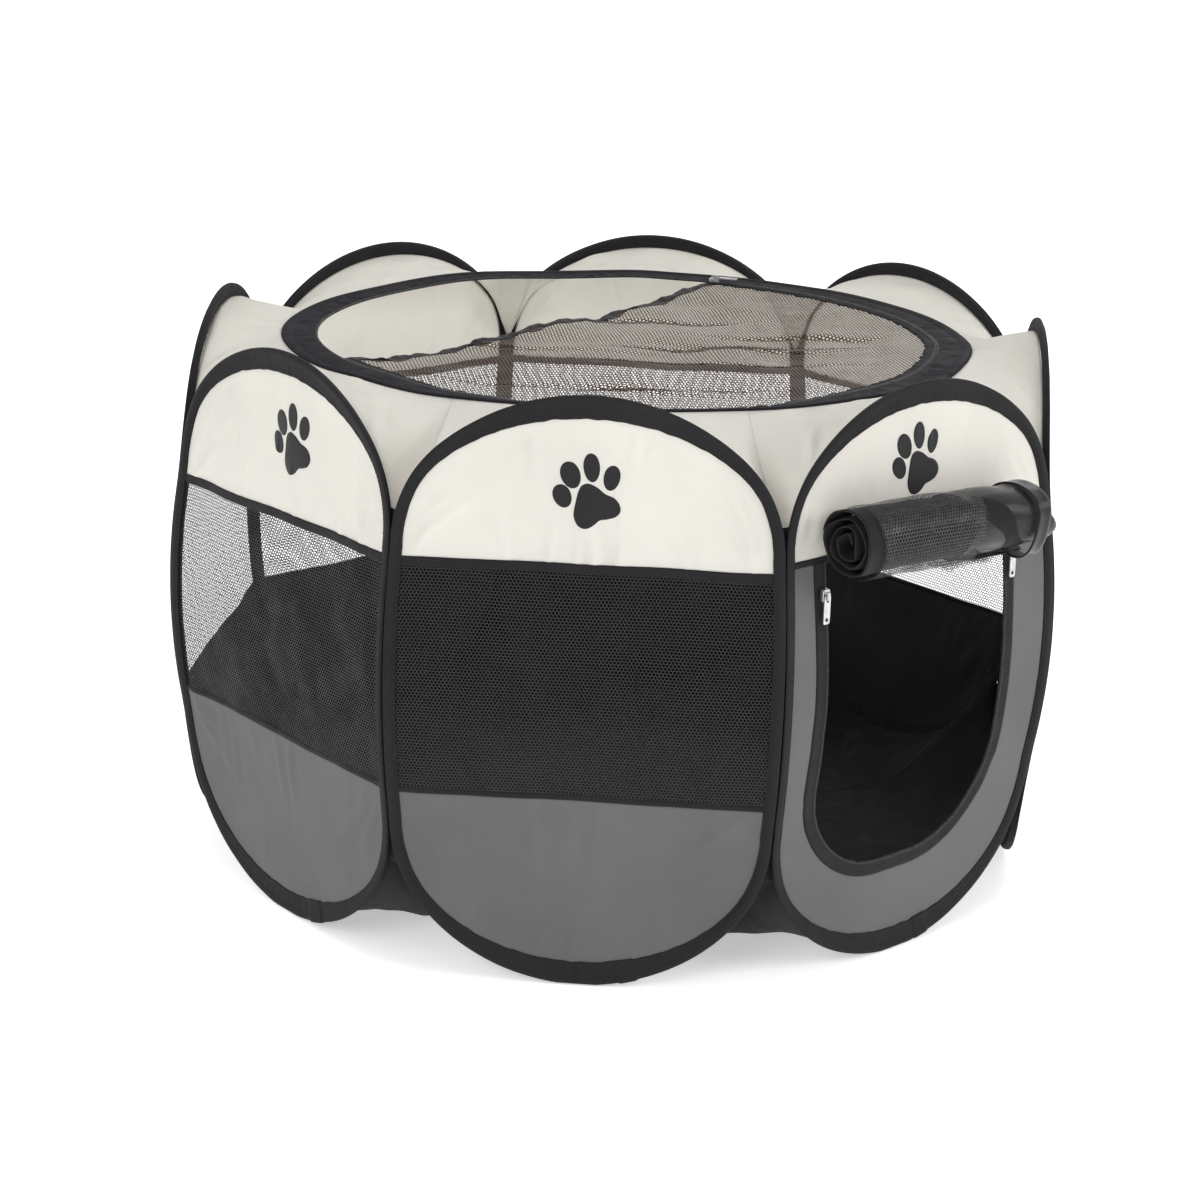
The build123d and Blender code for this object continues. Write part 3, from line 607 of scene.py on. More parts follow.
def binding(k):
    count = 520
    pts, inward, tang, q, length = rim(count)
    g = np.random.default_rng(500 + k)
    s = q / length * 2 * math.pi
    wob = ring_noise(500 + k, [3, 5, 7, 11, 17], 0.22)
    fat = ring_noise(520 + k, [4, 7, 13, 21, 34], 0.06)
    pucker = ring_noise(540 + k, [61, 83, 97, 127, 149, 163], 0.16)
    edge_wob = ring_noise(560 + k, [29, 47, 61, 89], 0.35)
    lean = ring_noise(580 + k, [3, 5, 8], 0.35)
    sec = WIDE
    i, t, f = section(pts[:, 1])
    leg = np.where(LEG > 0, i[:, -1:] * 0 + i[:, 17:18], i[:, 16:17])
    share = np.clip((i - 4.6) / np.maximum(leg - 4.6, 1), 0, 1)
    curved = step((np.abs(pts[:, 1] - 300) - 110) / 60)[:, None]
    size = 0.25 + 0.75 * f
    ii = i + wob(s)[:, None] * 0.6 * step((1 - share) / 0.6) * size + edge_wob(s)[:, None] * step((share - 0.6) / 0.4) * size
    tt = t * (1 + fat(s)[:, None] * size) + (pucker(s)[:, None] * (0.35 + curved) * step((share - 0.1) / 0.3)) * np.sign(t) * size
    tt = tt + lean(s)[:, None] * step((1 - share) / 0.9) * size * np.where(np.abs(t) > 0.5, 1, 0)
    base = np.maximum(0.9 - pts[:, 1], 0)[:, None]
    uz = pts[:, None] + inward[:, None] * (np.maximum(ii, -2.75) + base * step((8 - i) / 8))[..., None]
    n = bulge_n(uz[..., 1]) + np.clip(tt, -3.95, 3.95)
    v = world(k, uz[..., 0], n, uz[..., 1]).reshape(-1, 3)
    m = len(sec)
    a = (np.arange(count)[:, None] * m + np.arange(m)[None])
    b = (((np.arange(count) + 1) % count)[:, None] * m + np.arange(m)[None])
    quads = np.stack([a, b, np.roll(b, -1, 1), np.roll(a, -1, 1)], -1).reshape(-1, 4)
    sl = np.concatenate([[0], np.cumsum(np.hypot(*np.diff(sec, axis=0).T))])
    uv = np.stack(np.broadcast_arrays(sl[None] * 0.001, q[:, None] * 0.001), -1).reshape(-1, 2)
    # seam where the binding's end laps over its start, right of the lowest point
    lap_at = {2: 50.0, 3: 38.0}.get(k, g.uniform(30, 55))
    idx = np.where((pts[:, 0] > lap_at - 13) & (pts[:, 0] < lap_at + 13) & (pts[:, 1] < 60))[0]
    lap_pts, lap_in = pts[idx], inward[idx]
    ls = np.linspace(0, 1, len(idx))[:, None]
    edge = step(np.minimum(ls, 1 - ls) / 0.10)
    li, lt = i[idx], t[idx]
    lt = lt + np.sign(lt) * (0.25 + 0.75 * edge) * 0.85
    li = li - 0.9 * edge * step((6 - li) / 6) + 0.8 * step((share[idx] - 0.8) / 0.2)
    lap_uz = lap_pts[:, None] + lap_in[:, None] * li[..., None]
    lap_uz[..., 1] = np.maximum(lap_uz[..., 1], 0.5)
    lap_v = world(k, lap_uz[..., 0], bulge_n(lap_uz[..., 1]) + lt, lap_uz[..., 1]).reshape(-1, 3)
    rows = len(idx)
    lq = grid_quads(rows, m, len(v), wrap=True)[:, ::-1]
    ends = [np.arange(m)[None] + len(v), np.arange(m)[::-1][None] + len(v) + (rows - 1) * m]
    luv = np.stack(np.broadcast_arrays(sl[None] * 0.001, (q[idx] * 0.001)[:, None] + 0.013), -1).reshape(-1, 2)
    o = link(f"binding_fabric_{k}", np.concatenate([v, lap_v]), [quads, lq, ends[0], ends[1]], [M_BIND], uv=np.concatenate([uv, luv]))
    fix_normals(o)
    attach(o, f"panel_{k}")
    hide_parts(f"binding_{k}")
    # stitches along the inner edge, on both faces
    n_st = int(length / 4.6)
    at = (np.arange(n_st) + 0.5) / n_st * length
    px, pz = np.interp(at, q, pts[:, 0], period=length), np.interp(at, q, pts[:, 1], period=length)
    ix, iz = np.interp(at, q, inward[:, 0], period=length), np.interp(at, q, inward[:, 1], period=length)
    vs, fs = [], []
    box = np.array([(-1, -1, 0), (1, -1, 0), (1, 1, 0), (-1, 1, 0), (-.55, -.5, 1), (.55, -.5, 1), (.55, .5, 1), (-.55, .5, 1)], float)
    bf = np.array([(3, 2, 1, 0), (4, 5, 6, 7), (0, 1, 5, 4), (1, 2, 6, 5), (2, 3, 7, 6), (3, 0, 4, 7)])
    si, st_t, _ = section(pz)
    for side, col in ((1, 11), (-1, 22)):
        c = np.stack([px + ix * si[:, col], pz + iz * si[:, col]], -1)
        jit = g.normal(0, 0.10, n_st)
        along, across = box[:, 0] * 1.45, box[:, 1] * 0.42
        uz2 = c[:, None] + np.stack([iz, -ix], -1)[:, None] * along[None, :, None] + np.stack([ix, iz], -1)[:, None] * (across[None] + jit[:, None])[..., None]
        n2 = bulge_n(uz2[..., 1]) + side * (np.abs(st_t[:, col]) - 0.25)[:, None] + side * box[:, 2][None] * 0.85
        off = sum(len(x) for x in vs)
        vs.append(world(k, uz2[..., 0], n2, uz2[..., 1]).reshape(-1, 3))
        f = (np.arange(n_st)[:, None, None] * 8 + bf[None]).reshape(-1, 4) + off
        fs.append(f if side > 0 else f[:, ::-1])
    vs = np.concatenate(vs)
    st = link(f"binding_stitching_{k}", vs, fs, [M_STITCH], uv=vs[:, [0, 2]])
    fix_normals(st)
    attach(st, f"panel_{k}")


# ------------------------------------------------------------------ panel cloths
def panel_grid(k, part, z0, z1, rows, cols, inset):
    z = np.linspace(z0, z1, rows)[:, None]
    u = np.linspace(-1, 1, cols)[None] * half_w(z, inset)
    z = np.broadcast_to(z, u.shape)
    return u, z


def cloth_piece(name, k, part, u, z, thick, mats, back_mat, nodes, off=0.0):
    f = world(k, u, cloth_n(k, part, u, z, off + thick / 2), z)
    b = world(k, u, cloth_n(k, part, u, z, off - thick / 2), z)
    o = sheet_mesh(name, f, b, mats, np.stack([u, z], -1) * 0.001, back_mat)
    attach(o, f"panel_{k}")
    if nodes:
        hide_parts(*nodes)
    return o


def flat_area(u, z):
    p = np.stack([u, z], -1)
    d1, d2 = p[1:, 1:] - p[:-1, :-1], p[1:, :-1] - p[:-1, 1:]
    return float(np.abs(d1[..., 0] * d2[..., 1] - d1[..., 1] * d2[..., 0]).sum() / 2) * 1e-6


def panel_cloths(k):
    door = k == 3
    seam = DOOR_SEAM if door else SEAM_HIGH
    cols, rows = ((104, 44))
    u, z = panel_grid(k, "upper", seam, 575, rows, cols, 6.9)
    o = cloth_piece(f"upper_cloth_fabric_{k}", k, "upper", u, z, 0.7, [M_CREAM], 0, [f"upper_cloth_{k}"])
    # seam tape under the cream cloth
    us = np.linspace(-1, 1, cols)[None] * half_w(seam, 6.9)
    lo, hi = (-5.5, 4.0) if not door else (-4.0, 3.0)
    sag = 0.9 * np.sin(us / 47.0 + k) + 0.5 * np.sin(us / 19.0 + 2 * k)
    zz = seam + np.linspace(lo, hi, 6)[:, None] + sag * 0.6
    uu = np.broadcast_to(us, zz.shape)
    cross = np.array([0.0, 0.35, 0.45, 0.25, 0.45, 0.0])[:, None]
    surf = cloth_n(k, "upper", uu, np.full_like(uu, seam))
    f = world(k, uu, surf + 0.75 + cross, zz)
    b = world(k, uu, surf - 0.75 - cross * 0.6, zz)
    t = sheet_mesh(f"upper_seam_tape_{k}", f, b, [M_TAPE], np.stack([zz, uu], -1) * 0.001)
    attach(t, f"panel_{k}")
    if door:
        return
    # netting window
    pitch, strand = ((3.5, 0.90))
    keep = lambda a, b: (rim_dist(a, b) > 8.2) & (b > SEAM_LOW - 1) & (b < SEAM_HIGH + 1)
    p, q = hex_net(pitch, strand, keep, (-183, 183, SEAM_LOW - 3, SEAM_HIGH + 4))
    v = world(k, p[:, 0], bulge_n(p[:, 1]) + cloth_off(k, "window", p[:, 0], p[:, 1]) - 0.2, p[:, 1])
    w = link(f"window_netting_{k}", v, [q], [M_NET], uv=p * 0.001)
    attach(w, f"panel_{k}")
    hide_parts(f"window_net_{k}")
    # lower cloth, grey outside and near black on its inner face
    u, z = panel_grid(k, "lower", SEAM_LOW, 9.0, rows, cols, 6.9)
    o = cloth_piece(f"lower_cloth_fabric_{k}", k, "lower", u, z, 0.8, [M_GREY, M_BACKING], 1, [f"lower_cloth_{k}"])
    us = np.linspace(-1, 1, cols)[None] * half_w(SEAM_LOW, 6.9)
    sag = 0.8 * np.sin(us / 41.0 + 3 * k) + 0.5 * np.sin(us / 17.0 + k)
    zz = SEAM_LOW + np.linspace(-1.5, 4.0, 5)[:, None] + sag * 0.5
    uu = np.broadcast_to(us, zz.shape)
    cross = np.array([0.0, 0.3, 0.4, 0.3, 0.0])[:, None]
    surf = cloth_n(k, "lower", uu, np.full_like(uu, SEAM_LOW))
    t = sheet_mesh(f"lower_seam_tape_{k}", world(k, uu, surf + 0.7 + cross, zz), world(k, uu, surf - 0.7 - cross, zz), [M_TAPE], np.stack([zz, uu], -1) * 0.001)
    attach(t, f"panel_{k}")


# ------------------------------------------------------------------ paw prints
PAD = [(-0.3, 501.6), (7.7, 498.4), (14.7, 493.0), (23.4, 489.2), (28.4, 483.7), (29.4, 477.0), (25.2, 471.3), (17.9, 468.9), (11.0, 467.6), (6.5, 463.8),
       (1.4, 460.6), (-4.5, 459.8), (-10.2, 463.0), (-13.4, 471.6), (-12.0, 483.0), (-9.2, 495.1), (-5.9, 500.0)]
TOES = [(-24.5, 489.6, 8.4, 11.2, 24), (-17.4, 509.5, 9.1, 12.7, 20), (2.0, 517.3, 7.6, 13.4, 6), (20.8, 508.4, 7.6, 11.8, -10)]


def smooth_loop(pts, count):
    p = np.array(pts, float)
    m = len(p)
    t = np.linspace(0, m, count, endpoint=False)
    i = t.astype(int)
    f = (t - i)[:, None]
    a, b, c, d = p[(i - 1) % m], p[i % m], p[(i + 1) % m], p[(i + 2) % m]
    return 0.5 * (2 * b + (c - a) * f + (2 * a - 5 * b + 4 * c - d) * f ** 2 + (3 * b - a - 3 * c + d) * f ** 3)


def paw(k, cu, cz, turn):
    shapes = [(np.array([5.0, 480.0]), smooth_loop(PAD, 72))]
    for u, z, a, b, tilt in TOES:
        t = np.linspace(0, 2 * math.pi, 40, endpoint=False)
        c, s = math.cos(math.radians(tilt)), math.sin(math.radians(tilt))
        x, y = a * np.cos(t), b * np.sin(t) * (1 - 0.06 * np.sin(t))
        shapes.append((np.array([u, z]), np.stack([u + x * c - y * s, z + x * s + y * c], -1)))
    vs, fs, fs3, off = [], [], [], 0
    ct, st = math.cos(math.radians(turn)), math.sin(math.radians(turn))
    for centre, loop in shapes:
        if ((loop - np.roll(loop, 1, 0))[:, 0] * (loop + np.roll(loop, 1, 0))[:, 1]).sum() > 0:
            loop = loop[::-1]
        rings = [centre + (loop - centre) * f for f in (0.22, 0.45, 0.65, 0.82, 0.95, 1.0)]
        p = np.concatenate([centre[None]] + rings)
        m = len(loop)
        d = p - [2.0, 488.0]
        pu, pz = cu + d[:, 0] * ct - d[:, 1] * st, cz + d[:, 0] * st + d[:, 1] * ct
        lift = np.full(len(p), 0.80)
        lift[-m:] = 0.50
        top = world(k, pu, cloth_n(k, "upper", pu, pz) + lift, pz)
        bottom = world(k, pu, cloth_n(k, "upper", pu, pz) + 0.30, pz)
        both = np.concatenate([top, bottom])
        n = len(p)
        j = np.arange(m)
        tri = np.stack([np.zeros(m, int), 1 + j, 1 + (j + 1) % m], -1)
        qs = grid_quads(6, m, 1, wrap=True)
        edge = np.stack([n - m + (j + 1) % m, n - m + j, 2 * n - m + j, 2 * n - m + (j + 1) % m], -1)
        vs.append(both)
        fs += [qs[:, ::-1] + off, qs + n + off, edge + off]
        fs3 += [tri + off, tri[:, ::-1] + n + off]
        off += 2 * n
    v = np.concatenate(vs)
    a = math.radians(45 * (k - 3))
    uv = np.stack([v[:, 0] * math.cos(a) + v[:, 1] * math.sin(a), v[:, 2]], -1)
    o = link(f"paw_print_{k}", v, fs + fs3, [M_PAW], uv=uv)
    fix_normals(o)
    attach(o, f"panel_{k}")
    return o


# ------------------------------------------------------------------ roof
RIPPLE = ring_noise(901, [3, 5, 8, 11], 1.5)


def ring_calm(theta):
    """The ring lies flat where its slider rests and at both ends of the slider's run, and its height wanders a little elsewhere."""
    out = 1.0
    for at in (31, 167, -147):
        d = (theta - math.radians(at) + math.pi) % (2 * math.pi) - math.pi
        out = out * step((np.abs(d) - 0.10) / 0.25)
    return out


def ring_z(theta, r=RING_OUT):
    """Height of the ring band: on one side its inner edge hangs lower than its outer edge."""
    d = (theta - math.radians(-128) + math.pi) % (2 * math.pi) - math.pi
    tilt = 0.20 * step(1.25 - np.abs(d) / math.radians(49))
    return RING_Z + RIPPLE(theta) * ring_calm(theta) - tilt * (346.0 - r)


def theta_of(k, s):
    """Bearing round the pen of share s (-1..1) of panel k."""
    return np.radians(45 * (k - 3) - 90 + 22.5 * np.asarray(s, float))


def gore(k):
    rows, cols = ((26, 97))
    s = np.sin(np.linspace(-1, 1, cols) * math.pi / 2 * 0.98) / math.sin(math.pi / 2 * 0.98)
    s = 0.5 * s + 0.5 * np.linspace(-1, 1, cols)
    th = np.radians(22.5 * s)
    zr = ring_z(theta_of(k, s))
    ru, rn = RING_OUT * np.sin(th), RING_OUT * np.cos(th)
    # outer edge: up one side of the arch and down the other, on the binding's inner leg
    au = np.abs(s) * 176.0
    top = au <= 137.9
    rim_z = np.where(top, Z_HB + np.sqrt(np.maximum(R_HB ** 2 - au ** 2, 0)), HIGH_Z + np.sqrt(np.maximum(R_HC ** 2 - (au - CX_H) ** 2, 0)))
    ccx, ccz, rr = np.where(top, 0, CX_H), np.where(top, Z_HB, HIGH_Z), np.where(top, R_HB, R_HC)
    into = 5.6 + 9.6 * np.clip((rim_z - 495) / 89, 0, 1) ** 1.5
    ou = np.sign(s) * (ccx + (au - ccx) * (rr - into) / rr)
    oz = ccz + (rim_z - ccz) * (rr - into) / rr
    on = bulge_n(oz) - 2.7 - 1.2 * step((525 - rim_z) / 40)
    blend = step((np.abs(s) - 0.93) / 0.07)
    cn, cz = 431.0, 449.0
    ou = ou * (1 - blend) + np.sign(s) * cn * TAN * blend
    on = on * (1 - blend) + cn * blend
    oz = oz * (1 - blend) + cz * blend
    t = np.linspace(0, 1, rows)[:, None]
    tt = t
    u = ru * (1 - tt) + ou * tt
    n = rn * (1 - tt) + on * tt
    z = zr * (1 - tt) + oz * tt
    hump = 4 * tt * (1 - tt)
    z = z - 5.0 * hump * (0.35 + 0.65 * np.abs(s) ** 2)
    f = Folds()
    g = np.random.default_rng(700 + k)
    for sg in (-1, 1):
        for _ in range(5):
            s0 = sg * g.uniform(0.80, 0.97)
            f.add(s0 * 160, 96, s0 * 160 - sg * g.uniform(15, 70), g.uniform(-5, 40), g.uniform(1.2, 3.0) * g.choice([-1, 1]), g.uniform(3.5, 7))
    for _ in range(5):
        a = g.uniform(-130, 130)
        f.add(a, -4, a + g.uniform(-25, 25), g.uniform(35, 70), g.uniform(0.8, 1.6), g.uniform(3, 6))
    edge_free = (1 - np.abs(s) ** 8) * step(tt / 0.10) * step((1 - tt) / 0.10)
    bump = f(s * 160 + 0 * tt, tt * 95 + 0 * s) + 0.9 * soft_noise(720 + k, 7, 40, 130)(s * 160, tt * 95)
    z = z + 1.4 * bump * edge_free
    front = world(k, u, n, z)
    du = np.gradient(front, axis=1)
    dt = np.gradient(front, axis=0)
    nm = np.cross(du, dt)
    nm /= np.maximum(np.linalg.norm(nm, axis=-1), 1e-12)[..., None]
    nm *= np.where(nm[..., 2:3] < 0, -1, 1)
    a = math.radians(45 * (k - 3))
    tang = np.array([math.cos(a), math.sin(a), 0])
    nm[:, 0] -= (nm[:, 0] @ tang)[:, None] * tang * 0
    back = front - nm * 0.0007
    length = np.concatenate([np.zeros((1, cols)), np.cumsum(np.linalg.norm(np.diff(front, axis=0), axis=-1), 0)])
    o = sheet_mesh(f"roof_gore_fabric_{k}", front, back, [M_CREAM], np.stack([u * 0.001, length], -1))
    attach(o, f"panel_{k}")
    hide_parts(f"roof_gore_{k}")
    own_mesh(o)


RING_SECTION = [(364.6, 0.0), (364.0, 1.6), (362.0, 2.6), (359.0, 2.7), (355.5, 2.0), (353.5, 1.15), (352.2, 0.75), (350.5, 1.25), (347.0, 1.5), (342.0, 1.4),
                (337.0, 1.5), (333.0, 1.35), (330.6, 0.95), (328.4, 0.85), (327.8, 0.0), (328.4, -0.75), (333.0, -0.9), (347.0, -0.95), (356.0, -1.1), (363.0, -1.3)]


def ring_part(k):
    cols = 64
    s = np.linspace(-1, 1, cols)
    th = theta_of(k, s)
    sec = np.array(RING_SECTION)
    crush = ring_noise(911, [37, 53, 71, 97, 131], 0.9)
    crush2 = ring_noise(917, [43, 61, 83, 113], 0.9)
    slide = ring_noise(913, [5, 9, 13], 0.8)
    r = sec[:, 0][None] + slide(th)[:, None] * step((sec[:, 0][None] - 330) / 20)
    mid = np.exp(-((sec[:, 0] - 344) / 6) ** 2)[None]
    mid2 = np.exp(-((sec[:, 0] - 336) / 4) ** 2)[None]
    calm = ring_calm(th)[:, None]
    z = ring_z(th[:, None], sec[:, 0][None]) + sec[:, 1][None] + (crush(th)[:, None] * mid + crush2(th)[:, None] * mid2) * calm * np.where(sec[:, 1] > 0, 1, 0.6)[None]
    x, y = r * np.cos(th)[:, None] * 0.001, r * np.sin(th)[:, None] * 0.001
    v = np.stack([x, y, z * 0.001 + 0 * x], -1)
    m = len(sec)
    q = grid_quads(cols, m, wrap=True)
    ends = [np.arange(m)[None], (np.arange(m)[::-1] + (cols - 1) * m)[None]]
    uv = np.stack(np.broadcast_arrays(sec[:, 0][None] * 0.001, th[:, None] * 0.346), -1)
    o = link(f"roof_ring_{k}", v.reshape(-1, 3), [q[:, ::-1], ends[0][:, ::-1], ends[1][:, ::-1]], [M_RING], uv=uv.reshape(-1, 2))
    fix_normals(o)
    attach(o, f"panel_{k}")
    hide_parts("roof_zip_tape")
    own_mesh(o)
    # zip coil along its inner edge
    pitch = 0.0072
    a0, a1 = math.radians(45 * (k - 3) - 112.5), math.radians(45 * (k - 3) - 67.5)
    cnt = int((a1 - a0) / pitch)
    ths = a0 + (np.arange(cnt) + 0.5) / cnt * (a1 - a0)
    coil(f"roof_zip_coil_{k}", ths, 328.6, ring_z(ths, 328.6) + 0.6, f"panel_{k}", squash=(k, 0.416))
    return o


BOX = np.array([(-1, -1, -1), (1, -1, -1), (1, 1, -1), (-1, 1, -1), (-.7, -.6, 1), (.7, -.6, 1), (.7, .6, 1), (-.7, .6, 1)], float)
BOX_F = np.array([(3, 2, 1, 0), (4, 5, 6, 7), (0, 1, 5, 4), (1, 2, 6, 5), (2, 3, 7, 6), (3, 0, 4, 7)])


def boxes(name, centre, ax, ay, az, mat):
    """One small bevelled block at each centre; ax, ay and az are its half sizes as vectors."""
    v = centre[:, None] + BOX[None, :, 0:1] * ax[:, None] + BOX[None, :, 1:2] * ay[:, None] + BOX[None, :, 2:3] * az[:, None]
    f = (np.arange(len(centre))[:, None, None] * 8 + BOX_F[None]).reshape(-1, 4)
    v = v.reshape(-1, 3)
    o = link(name, v, [f], [mat], uv=v[:, [0, 2]])
    fix_normals(o)
    return o


def coil(name, ths, r, z, body, squash=None, half=1.5):
    c = np.stack([r * np.cos(ths), r * np.sin(ths), z + 0 * ths], -1) * 0.001
    rad = np.stack([np.cos(ths), np.sin(ths), 0 * ths], -1)
    tan = np.stack([-np.sin(ths), np.cos(ths), 0 * ths], -1)
    up = np.zeros_like(rad)
    up[:, 2] = 1
    o = boxes(name, c, rad * 0.001 * half, tan * 0.00072, up * 0.0009, M_COIL)
    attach(o, body)
    if squash:
        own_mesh(o)
    return o


# ------------------------------------------------------------------ cover
DIR = math.radians(100.5)
OPEN_D = 122.0
NRM = np.array([math.cos(DIR), math.sin(DIR)])
ALONG = np.array([-math.sin(DIR), math.cos(DIR)])
EDGE_T = np.array([-330, -305, -195, -114, -44, 53, 148, 240, 305, 330], float)
EDGE_S = np.array([0, 0, 6.5, 15, 7, 11, 15, 9, 0, 0], float)


def edge_sag(t):
    fine = np.linspace(-330, 330, 400)
    v = np.interp(fine, EDGE_T, EDGE_S)
    w = np.exp(-((np.arange(-25, 26)) / 11.0) ** 2)
    v = np.convolve(np.pad(v, 25, mode="edge"), w / w.sum(), mode="valid")
    return np.interp(t, fine, v)


COVER_WAVE = soft_noise(931, 8, 60, 190)


def cover_drop(x, y):
    """How far the netting hangs below the ring."""
    r = np.hypot(x, y)
    d = x * NRM[0] + y * NRM[1]
    t = x * ALONG[0] + y * ALONG[1]
    rim_fade = step((316 - r) / 60)
    belly = 13.0 * np.clip(1 - (r / 316) ** 2, 0, 1) ** 0.8
    near = np.exp(-np.maximum(OPEN_D - d, 0) / 45.0)
    drop = belly * (1 - near) + edge_sag(t) * near
    drop = drop + 1.6 * COVER_WAVE(x, y) * rim_fade
    view = x * -0.656 + y * -0.755
    side = x * 0.755 - y * 0.656
    g = np.random.default_rng(941)
    for _ in range(13):
        v0, slope = g.uniform(-210, 230), g.uniform(-0.10, 0.12)
        c, half = g.uniform(-160, 200), g.uniform(60, 170)
        w, amp = g.uniform(4, 8), g.uniform(1.5, 4.5)
        dist = view - v0 - slope * (side - c) - 5 * np.sin((side - c) / 50.0)
        drop = drop + amp * np.exp(-(dist / w) ** 2) * np.exp(-((side - c) / half) ** 2) * rim_fade
    return drop


def cover():
    keep = lambda a, b: (np.hypot(a, b) < 318.5) & (a * NRM[0] + b * NRM[1] < OPEN_D - 3.5)
    pitch, strand = ((4.3, 1.66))
    p, q = hex_net(pitch, strand, keep, (-325, 325, -325, 325))
    share = step((np.hypot(p[:, 0], p[:, 1]) - 120) / 190)
    z = ring_z(np.arctan2(p[:, 1], p[:, 0]), 316.0) * share + RING_Z * (1 - share)
    z = z - 0.4 - cover_drop(p[:, 0], p[:, 1])
    o = link("cover_netting", np.stack([p[:, 0], p[:, 1], z], -1) * 0.001, [q], [M_COVER], uv=p * 0.001)
    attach(o, "top_cover")
    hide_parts("cover_net")
    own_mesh(o)
    # zipped tape round the closed part
    half = math.acos(OPEN_D / RING_MID)
    t0, t1 = DIR + half, DIR - half + 2 * math.pi
    cnt = 420
    th = np.linspace(t0, t1, cnt)
    sec = np.array([(327.2, 0.0), (326.8, 0.8), (323.5, 1.0), (320.5, 1.25), (317.5, 1.0), (315.4, 0.5), (314.9, -0.3), (318, -0.9), (323, -0.9), (326.8, -0.6)])
    crush = ring_noise(951, [31, 47, 67, 89, 121], 0.55)
    inner = np.exp(-((sec[:, 0] - 318) / 4.5) ** 2)[None]
    frill = ring_noise(953, [71, 103, 151, 187], 0.9)
    r = sec[:, 0][None] - frill(th)[:, None] * np.exp(-((sec[:, 0] - 315) / 2.5) ** 2)[None]
    z = ring_z(th[:, None], sec[:, 0][None]) + sec[:, 1][None] + crush(th)[:, None] * inner
    v = np.stack([r * np.cos(th)[:, None], r * np.sin(th)[:, None], z + 0 * r], -1) * 0.001
    m = len(sec)
    q = grid_quads(cnt, m, wrap=True)
    ends = [np.arange(m)[None], (np.arange(m)[::-1] + (cnt - 1) * m)[None]]
    uv = np.stack(np.broadcast_arrays(sec[:, 0][None] * 0.001, th[:, None] * 0.32), -1)
    o = link("cover_tape_zipped", v.reshape(-1, 3), [q[:, ::-1], ends[0][:, ::-1], ends[1][:, ::-1]], [M_RING], uv=uv.reshape(-1, 2))
    fix_normals(o)
    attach(o, "top_cover")
    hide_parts("cover_zip_tape")
    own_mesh(o)
    pitch = 0.0072
    ths = np.arange(t0 + 0.01, t1 - 0.03, pitch)
    c = coil("cover_zip_coil", ths, 326.0, ring_z(ths, 326.0) + 0.9, "top_cover")
    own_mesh(c)
    # unzipped free edge: tape with the other half of the zip
    tl = math.sqrt(RING_MID ** 2 - OPEN_D ** 2) - 3
    t = np.linspace(-tl, tl, 260)
    sec = np.array([(0.0, 0.0), (-0.8, 0.75), (-4.0, 0.85), (-8.0, 0.85), (-11.5, 0.6), (-12.2, 0.0), (-11.5, -0.7), (-6.0, -0.85), (-0.8, -0.7)])
    g = ring_noise(961, [11, 17, 29, 41], 0.9)
    curl = ring_noise(963, [6, 9, 14], 1.3)
    wander = 2.0 * np.sin(t / 61.0) + 1.2 * np.sin(t / 23.0 + 1)
    ease = step((tl - np.abs(t)) / 40)
    d = OPEN_D + sec[:, 0][None] + (wander * ease)[:, None]
    px = d * NRM[0] + t[:, None] * ALONG[0]
    py = d * NRM[1] + t[:, None] * ALONG[1]
    zz = RING_Z - 0.4 - cover_drop(px, py) * ease[:, None] + sec[:, 1][None] + (g(t / 100) * ease)[:, None] * 0.5 + (curl(t / 100) * ease)[:, None] * (sec[:, 0][None] + 6) / 6
    v = np.stack([px, py, zz], -1) * 0.001
    m, cnt = len(sec), len(t)
    q = grid_quads(cnt, m, wrap=True)
    ends = [np.arange(m)[None], (np.arange(m)[::-1] + (cnt - 1) * m)[None]]
    uv = np.stack(np.broadcast_arrays(sec[:, 0][None] * 0.001, t[:, None] * 0.001), -1)
    o = link("cover_tape_open", v.reshape(-1, 3), [q, ends[0], ends[1]], [M_TAPE], uv=uv.reshape(-1, 2))
    fix_normals(o)
    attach(o, "top_cover")
    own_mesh(o)


